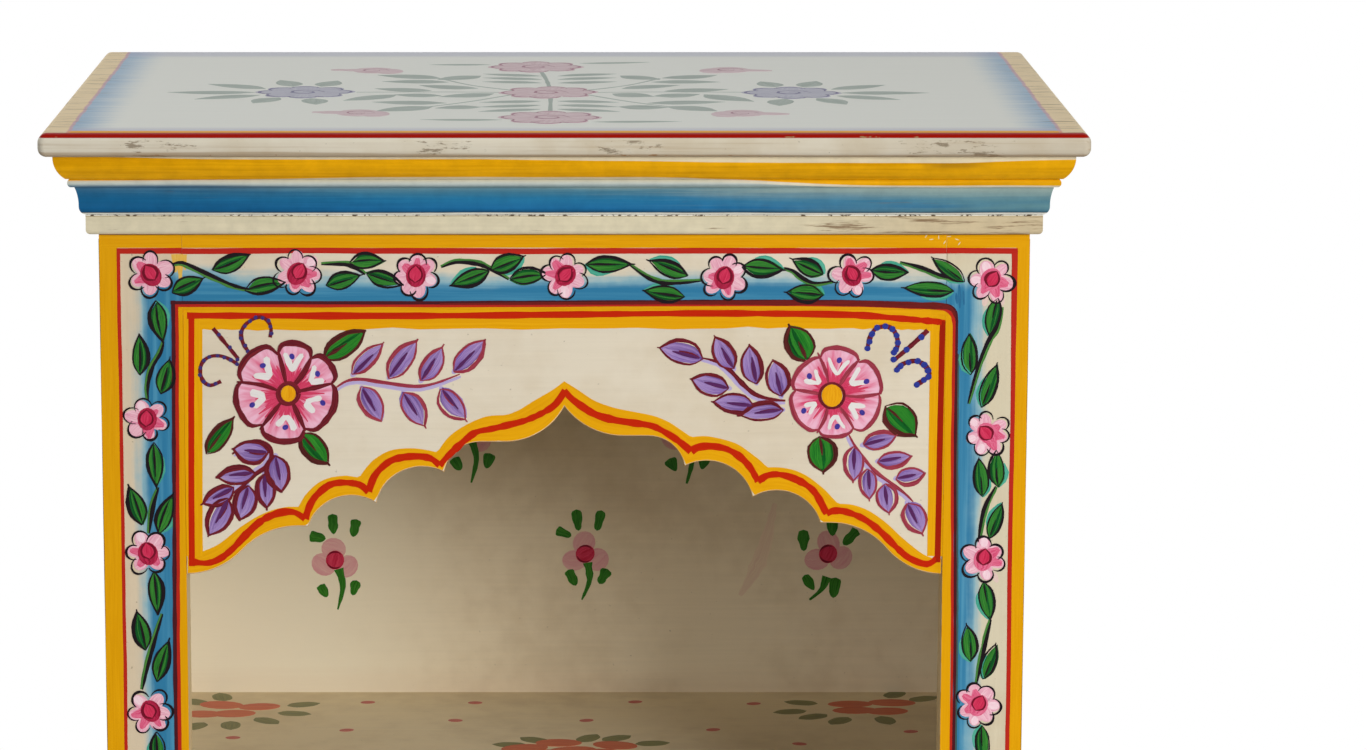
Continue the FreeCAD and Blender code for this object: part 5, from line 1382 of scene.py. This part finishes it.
TOP_STAND = Matrix.Translation((0, 0, 0.6))
dry(top_flowers, "top_flowers", TOP_STAND, "cabinet")


# Cornice: three lengths of moulding planted under the top with mitred corners,
# painted in level bands: cream fillet, blue cove, yellow bead and ovolo, with
# grime and with cracks along the grain.
CORNICE_BANDS = (
    (549.0, 208, 198, 170), (557.6, 207, 197, 168), (558.2, 164, 146, 112), (558.5, 240, 238, 228),
    (559.8, 230, 231, 222), (560.1, 34, 58, 70), (560.7, 22, 82, 120), (562.0, 28, 100, 148),
    (567.0, 36, 112, 152), (569.8, 60, 116, 142), (571.5, 88, 132, 148), (573.0, 116, 142, 146),
    (574.0, 152, 166, 166), (575.0, 184, 191, 183), (576.2, 198, 192, 170), (577.6, 208, 194, 160),
    (589.0, 214, 200, 168),
)
BAND_LOW = CORNICE_BANDS[0][0]
BAND_HIGH = CORNICE_BANDS[-1][0]
CORNICE_YELLOW = (tone(206, 146, 0), tone(220, 159, 6))
COVE_DEEP = tone(12, 80, 124)
COVE_GREY = tone(88, 128, 136)
COVE_CHALK = tone(158, 172, 162)
PALE_LINE = tone(216, 206, 180)
SMUDGE = tone(112, 78, 20)
FILLET_DULL = tone(184, 158, 116)
CRACK_BROWN = tone(112, 84, 56)
COVE_FOOT = (0.5601, 0.5607)
COVE_HEAD = (0.5745, 0.573)
YELLOW_FOOT = 0.5781
YELLOW_HEAD = (0.5883, 0.588)
SMUDGE_PLACE = 0.186
SMUDGE_RISE = (0.5815, 0.585)
CHALK_RISE = (0.5655, 0.5725)
DULL_TOP = (0.5582, 0.5578)
FILLET_TOP = (0.5586, 0.558)
CREASE_FOOT = (0.5578, 0.5582)
CREASE_HEAD = (0.5592, 0.5588)


def cornice_paint(node, stretch):
    paint, tree, shader = start_paint(node + "_paint")
    place = here(tree)
    spot = parts_of(place)
    drawn = stretched(place, stretch)
    streaks = speckle(drawn, 1.0, 4.0)
    slow = speckle(stretched(place, (9, 9, 0)), 1.0, 2.0)
    waver = plus(scaled(streaks, 0.0008, -0.0004), scaled(slow, 0.0012, -0.0006))
    height = plus(spot[2], waver)
    limits = {"Value": height, "From Min": BAND_LOW * MM, "From Max": BAND_HIGH * MM}
    ramp = put(tree, "ValToRGB", {0: put(tree, "MapRange", limits).outputs[0]})
    steps = ramp.color_ramp.elements
    for index, (level, *shade) in enumerate(CORNICE_BANDS):
        mark = (level - BAND_LOW) / (BAND_HIGH - BAND_LOW)
        step = steps[index] if index < 2 else steps.new(mark)
        step.position = mark
        step.color = tone(*shade)
    cove = times(ease(height, *COVE_FOOT), ease(height, *COVE_HEAD))
    across = scaled(streaks, 0.24, minus(spot[0], 0.12))
    colour = mingle(times(cove, ease(across, -0.02, -0.22), 0.7), ramp.outputs[0], COVE_DEEP)
    colour = mingle(times(cove, ease(across, 0.02, 0.28)), colour, COVE_GREY)
    chalky = times(ease(height, *CHALK_RISE), ease(across, -0.02, 0.14), cove, 0.7)
    colour = mingle(chalky, colour, COVE_CHALK)
    foot = scaled(ease(spot[0], 0.03, 0.16), -0.0043, YELLOW_FOOT)
    foot = scaled(ease(spot[0], -0.08, -0.2), -0.0019, foot)
    above = minus(height, foot)
    dip = scaled(ease(spot[0], -0.08, 0.15), 0.0019, 0.0007)
    dip = scaled(ease(spot[0], 0.18, 0.24), -0.0018, dip)
    dip = scaled(ease(spot[0], -0.17, -0.225), -0.0012, dip)
    yellow = times(ease(above, 0.0, 0.0003), ease(plus(height, dip), *YELLOW_HEAD))
    pale = times(ease(above, -0.0014, -0.0011), ease(spot[0], 0.06, 0.12), ease(above, 0.0006, 0.0003))
    colour = mingle(pale, colour, PALE_LINE)
    colour = mingle(yellow, colour, mingle(ease(streaks, 0.3, 0.6), *CORNICE_YELLOW))
    near = ease(size_of(minus(spot[0], SMUDGE_PLACE)), 0.02, 0.004)
    colour = mingle(times(near, ease(height, *SMUDGE_RISE), yellow, streaks), colour, SMUDGE)
    dull = times(ease(height, *DULL_TOP), ease(spot[0], 0.08, 0.2), 0.5)
    colour = mingle(dull, colour, FILLET_DULL)
    mottle = scaled(speckle(place, 130.0, 4.0, 0.6), 0.4, 0.7)
    colour = lit(colour, scaled(streaks, 0.2, mottle))
    cracks = speckle(stretched(drawn, (1.6, 0.7, 0.7)), 1.0, 5.0, 0.7)
    fillet = ease(spot[2], *FILLET_TOP)
    ends = times(fillet, ease(spot[0], 0.07, 0.17))
    aged = ease(plus(cracks, scaled(ends, 0.11, -0.03)), 0.6, 0.7)
    colour = mingle(times(aged, scaled(fillet, 0.6, 0.2)), colour, CRACK_BROWN)
    crease = times(ease(spot[2], *CREASE_FOOT), ease(spot[2], *CREASE_HEAD))
    pits = ease(speckle(place, 520.0, 2.0), 0.56, 0.62)
    colour = mingle(times(crease, pits), colour, SOOT)
    feed(shader, colour, scaled(streaks, 0.25, 0.28), streaks, BRUSH_DEPTH)
    cover(node, paint)


cornice_paint("cornice_front", LEVEL_STROKES)
for node in ("cornice_left", "cornice_right"):
    cornice_paint(node, SIDE_STROKES)


# Drawer: a softwood box lapped into a solid front that is painted like the arch
# panel, with a turned and painted knob held by a screw. The photograph ends
# above it, so its painting is a guess in the same hand.
WOOD_INPUTS = [("Pale", "Color", BARE_WOOD), ("Ring", "Color", BARE_WOOD), ("Stretch", "Vector", (1, 1, 1))]
wood_grain, given, made = group_of("wood_grain", WOOD_INPUTS, PAINT_OUTPUTS)
drawn = stretched(here(wood_grain), given["Stretch"])
bands = reckon("SINE", times(speckle(drawn, 1.0, 3.0, 0.5), 60.0))
fibres = speckle(stretched(drawn, (3, 14, 14)), 1.0)
share = plus(scaled(bands, 0.22, 0.3), scaled(fibres, 0.6, -0.3))
share = put(wood_grain, "Clamp", {0: share}).outputs[0]
give(made, mingle(share, given["Pale"], given["Ring"]), scaled(fibres, 0.3, 0.5), fibres)

PALE_WOOD = tone(206, 172, 126)
RING_WOOD = tone(166, 122, 78)


def bare_board(node, stretch):
    paint, tree, shader = start_paint(node + "_wood")
    looks = {"Pale": PALE_WOOD, "Ring": RING_WOOD, "Stretch": stretch}
    feed(shader, *put(tree, "Group", looks, node_tree=wood_grain).outputs, BRUSH_DEPTH)
    cover(node, paint)


GRAIN_ACROSS = (2, 26, 26)
GRAIN_DEEP = (26, 2, 26)
board_paint("drawer_front", LEVEL_STROKES, 0.45, 0.0012)
drawer_paint = new_film()
KNOB_HEIGHT = 155
for pot, reach, width, level, rows in (
    (PANEL_RED, 181, 2.6, 2, (205.6, 104.4)),
    (PANEL_YELLOW, 178, 4.2, 1, (201.8, 108.2)),
):
    for height in rows:
        level_line(drawer_paint, height, -reach, reach, width, level, pot)
for side in (-1, 1):
    upright(drawer_paint, side * 180.4, 103.5, 206.5, 2.4, 2.5, PANEL_RED)
    upright(drawer_paint, side * 177, 107, 203, 3.6, 1.5, PANEL_YELLOW)
    middle = (side * 112, KNOB_HEIGHT)
    for turn, lean in ((0, 1), (180, -1)):
        foot = from_middle(middle, turn, 24)
        bend = from_middle(foot, turn + 14 * lean, 14)
        tip = from_middle(bend, turn - 10 * lean, 14)
        branch(drawer_paint, [foot, bend, tip], (3, 6, 9), turn, 58, 18, 8.6)
    for angle in (60, 120, 240, 300):
        base = from_middle(middle, angle, 23)
        leaf(drawer_paint, base, from_middle(base, angle, 17), 11, PANEL_LEAF, 2, 1.3)
    great_flower(drawer_paint, middle, even_petals(19, 23), 4.6, MAROON, 2.4, 2.0)
    for up in (-1, 1):
        rise = [(side * across, KNOB_HEIGHT + high * up) for across, high in ((20, 8), (34, 20), (52, 26))]
        stem(drawer_paint, rise)
        base = (side * 30, KNOB_HEIGHT + 18 * up)
        leaf(drawer_paint, base, (side * 46, KNOB_HEIGHT + 14 * up), 8, PANEL_LEAF)
dry(drawer_paint, "drawer_flowers", facing_front(FRONT_FACE), "drawer")

knob_bands, tree, shader = start_paint("knob_paint")
place = here(tree)
spot = parts_of(place)
rise = minus(spot[2], KNOB_HEIGHT * MM)
streaks = speckle(place, 180.0, 4.0)
reach = reckon("SQRT", plus(times(spot[0], spot[0]), times(rise, rise)))
reach = plus(reach, scaled(streaks, 0.0012, -0.0006))
KNOB_RINGS = ((0.0035, 220, 158, 8), (0.0072, 176, 36, 24), (0.0088, 46, 114, 154), (0.0122, 216, 205, 184))
KNOB_RED = tone(196, 46, 20)
colour = KNOB_RED
for start, *shade in KNOB_RINGS:
    colour = mingle(ease(reach, start, start + 0.0004), colour, tone(*shade))
feed(shader, colour, scaled(streaks, 0.3, 0.15), streaks, BRUSH_DEPTH / 2)
cover("drawer_knob", knob_bands)

STEEL_DARK = tone(120, 112, 100)
STEEL_BRIGHT = tone(190, 184, 172)
screw_steel, tree, shader = start_paint("screw_steel")
scratches = speckle(stretched(here(tree), (900, 900, 200)), 1.0, 4.0)
shader.inputs["Metallic"].default_value = 1.0
colour = mingle(scratches, STEEL_DARK, STEEL_BRIGHT)
feed(shader, colour, scaled(scratches, 0.4, 0.2), scratches, BRUSH_DEPTH / 4)
for node in nodes:
    if "screw" in node:
        cover(node, screw_steel)


# Inner strips: runners, guides, kickers, stops, cleats and the drawer's own
# boards, planed softwood left bare and out of sight while the drawer is shut.
for node in sorted(set(nodes) - painted):
    low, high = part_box(node)
    bare_board(node, GRAIN_ACROSS if high.x - low.x > high.y - low.y else GRAIN_DEEP)


# Stage: a pale round floor that fades into the white background, a large soft
# key lamp from the right front, three weaker lamps and the camera.
FLOOR_RADIUS = 0.88
FLOOR_DROP = (0, 0, -0.0005)
FLOOR_FADE = (0.45, 0.86)
floor_bm = bmesh.new()
bmesh.ops.create_circle(floor_bm, cap_ends=True, segments=96, radius=FLOOR_RADIUS)
bmesh.ops.translate(floor_bm, verts=floor_bm.verts[:], vec=FLOOR_DROP)
floor_mesh = bpy.data.meshes.new("floor")
floor_bm.to_mesh(floor_mesh)
floor_bm.free()
floor = add_object("floor", floor_mesh)
floor_paint, tree, shader = start_paint("floor_paint")
shader.inputs["Base Color"].default_value = tone(232, 231, 228)
shader.inputs["Roughness"].default_value = 0.9
away = put(tree, "VectorMath", {0: here(tree)}, operation="LENGTH").outputs["Value"]
clear = put(tree, "BsdfTransparent")
fade = put(tree, "MixShader", {0: ease(away, *FLOOR_FADE), 1: shader.outputs[0], 2: clear.outputs[0]})
tree.links.new(fade.outputs[0], tree.nodes["Material Output"].inputs["Surface"])
floor_mesh.materials.append(floor_paint)


def soft_lamp(name, place, target, size, power):
    lamp = bpy.data.lights.new(name, "AREA")
    lamp.shape = "DISK"
    lamp.size = size
    lamp.energy = power
    holder = add_object(name, lamp)
    holder.location = place
    holder.rotation_euler = (Vector(target) - Vector(place)).to_track_quat("-Z", "Y").to_euler()


soft_lamp("key_lamp", (1.75, -2.35, 1.0), (0, 0, 0.4), 1.4, 67.0)
soft_lamp("fill_lamp", (-0.8, -2.7, 1.15), (0, 0, 0.4), 1.4, 16.0)
soft_lamp("top_lamp", (-0.4, -0.2, 2.6), (0, 0, 0.5), 1.2, 14.0)
soft_lamp("back_lamp", (-2.4, 1.9, 1.3), (0, 0, 0.4), 1.4, 40.0)

ROOM_LIGHT = 0.17
world = bpy.data.worlds.new("white_room")
bpy.context.scene.world = world
world.use_nodes = True
tree = world.node_tree
ray = put(tree, "LightPath").outputs
seen = most(ray["Is Camera Ray"], ray["Is Glossy Ray"], ray["Is Transmission Ray"])
backdrop = tree.nodes["Background"]
backdrop.inputs["Color"].default_value = (1, 1, 1, 1)
tree.links.new(scaled(seen, 1 - ROOM_LIGHT, ROOM_LIGHT), backdrop.inputs["Strength"])

bpy.context.scene.view_settings.view_transform = "Standard"
camera_data = bpy.data.cameras.new("camera")
camera_data.sensor_fit = "HORIZONTAL"
camera_data.sensor_width = 36.0
camera_data.lens = 127.72
camera_data.shift_x = 0.0872
camera = add_object("camera", camera_data)
camera.location = (0, -2.4552, 0.8989)
camera.rotation_euler = (math.pi / 2 - 0.1798, 0, 0)
bpy.context.scene.camera = camera
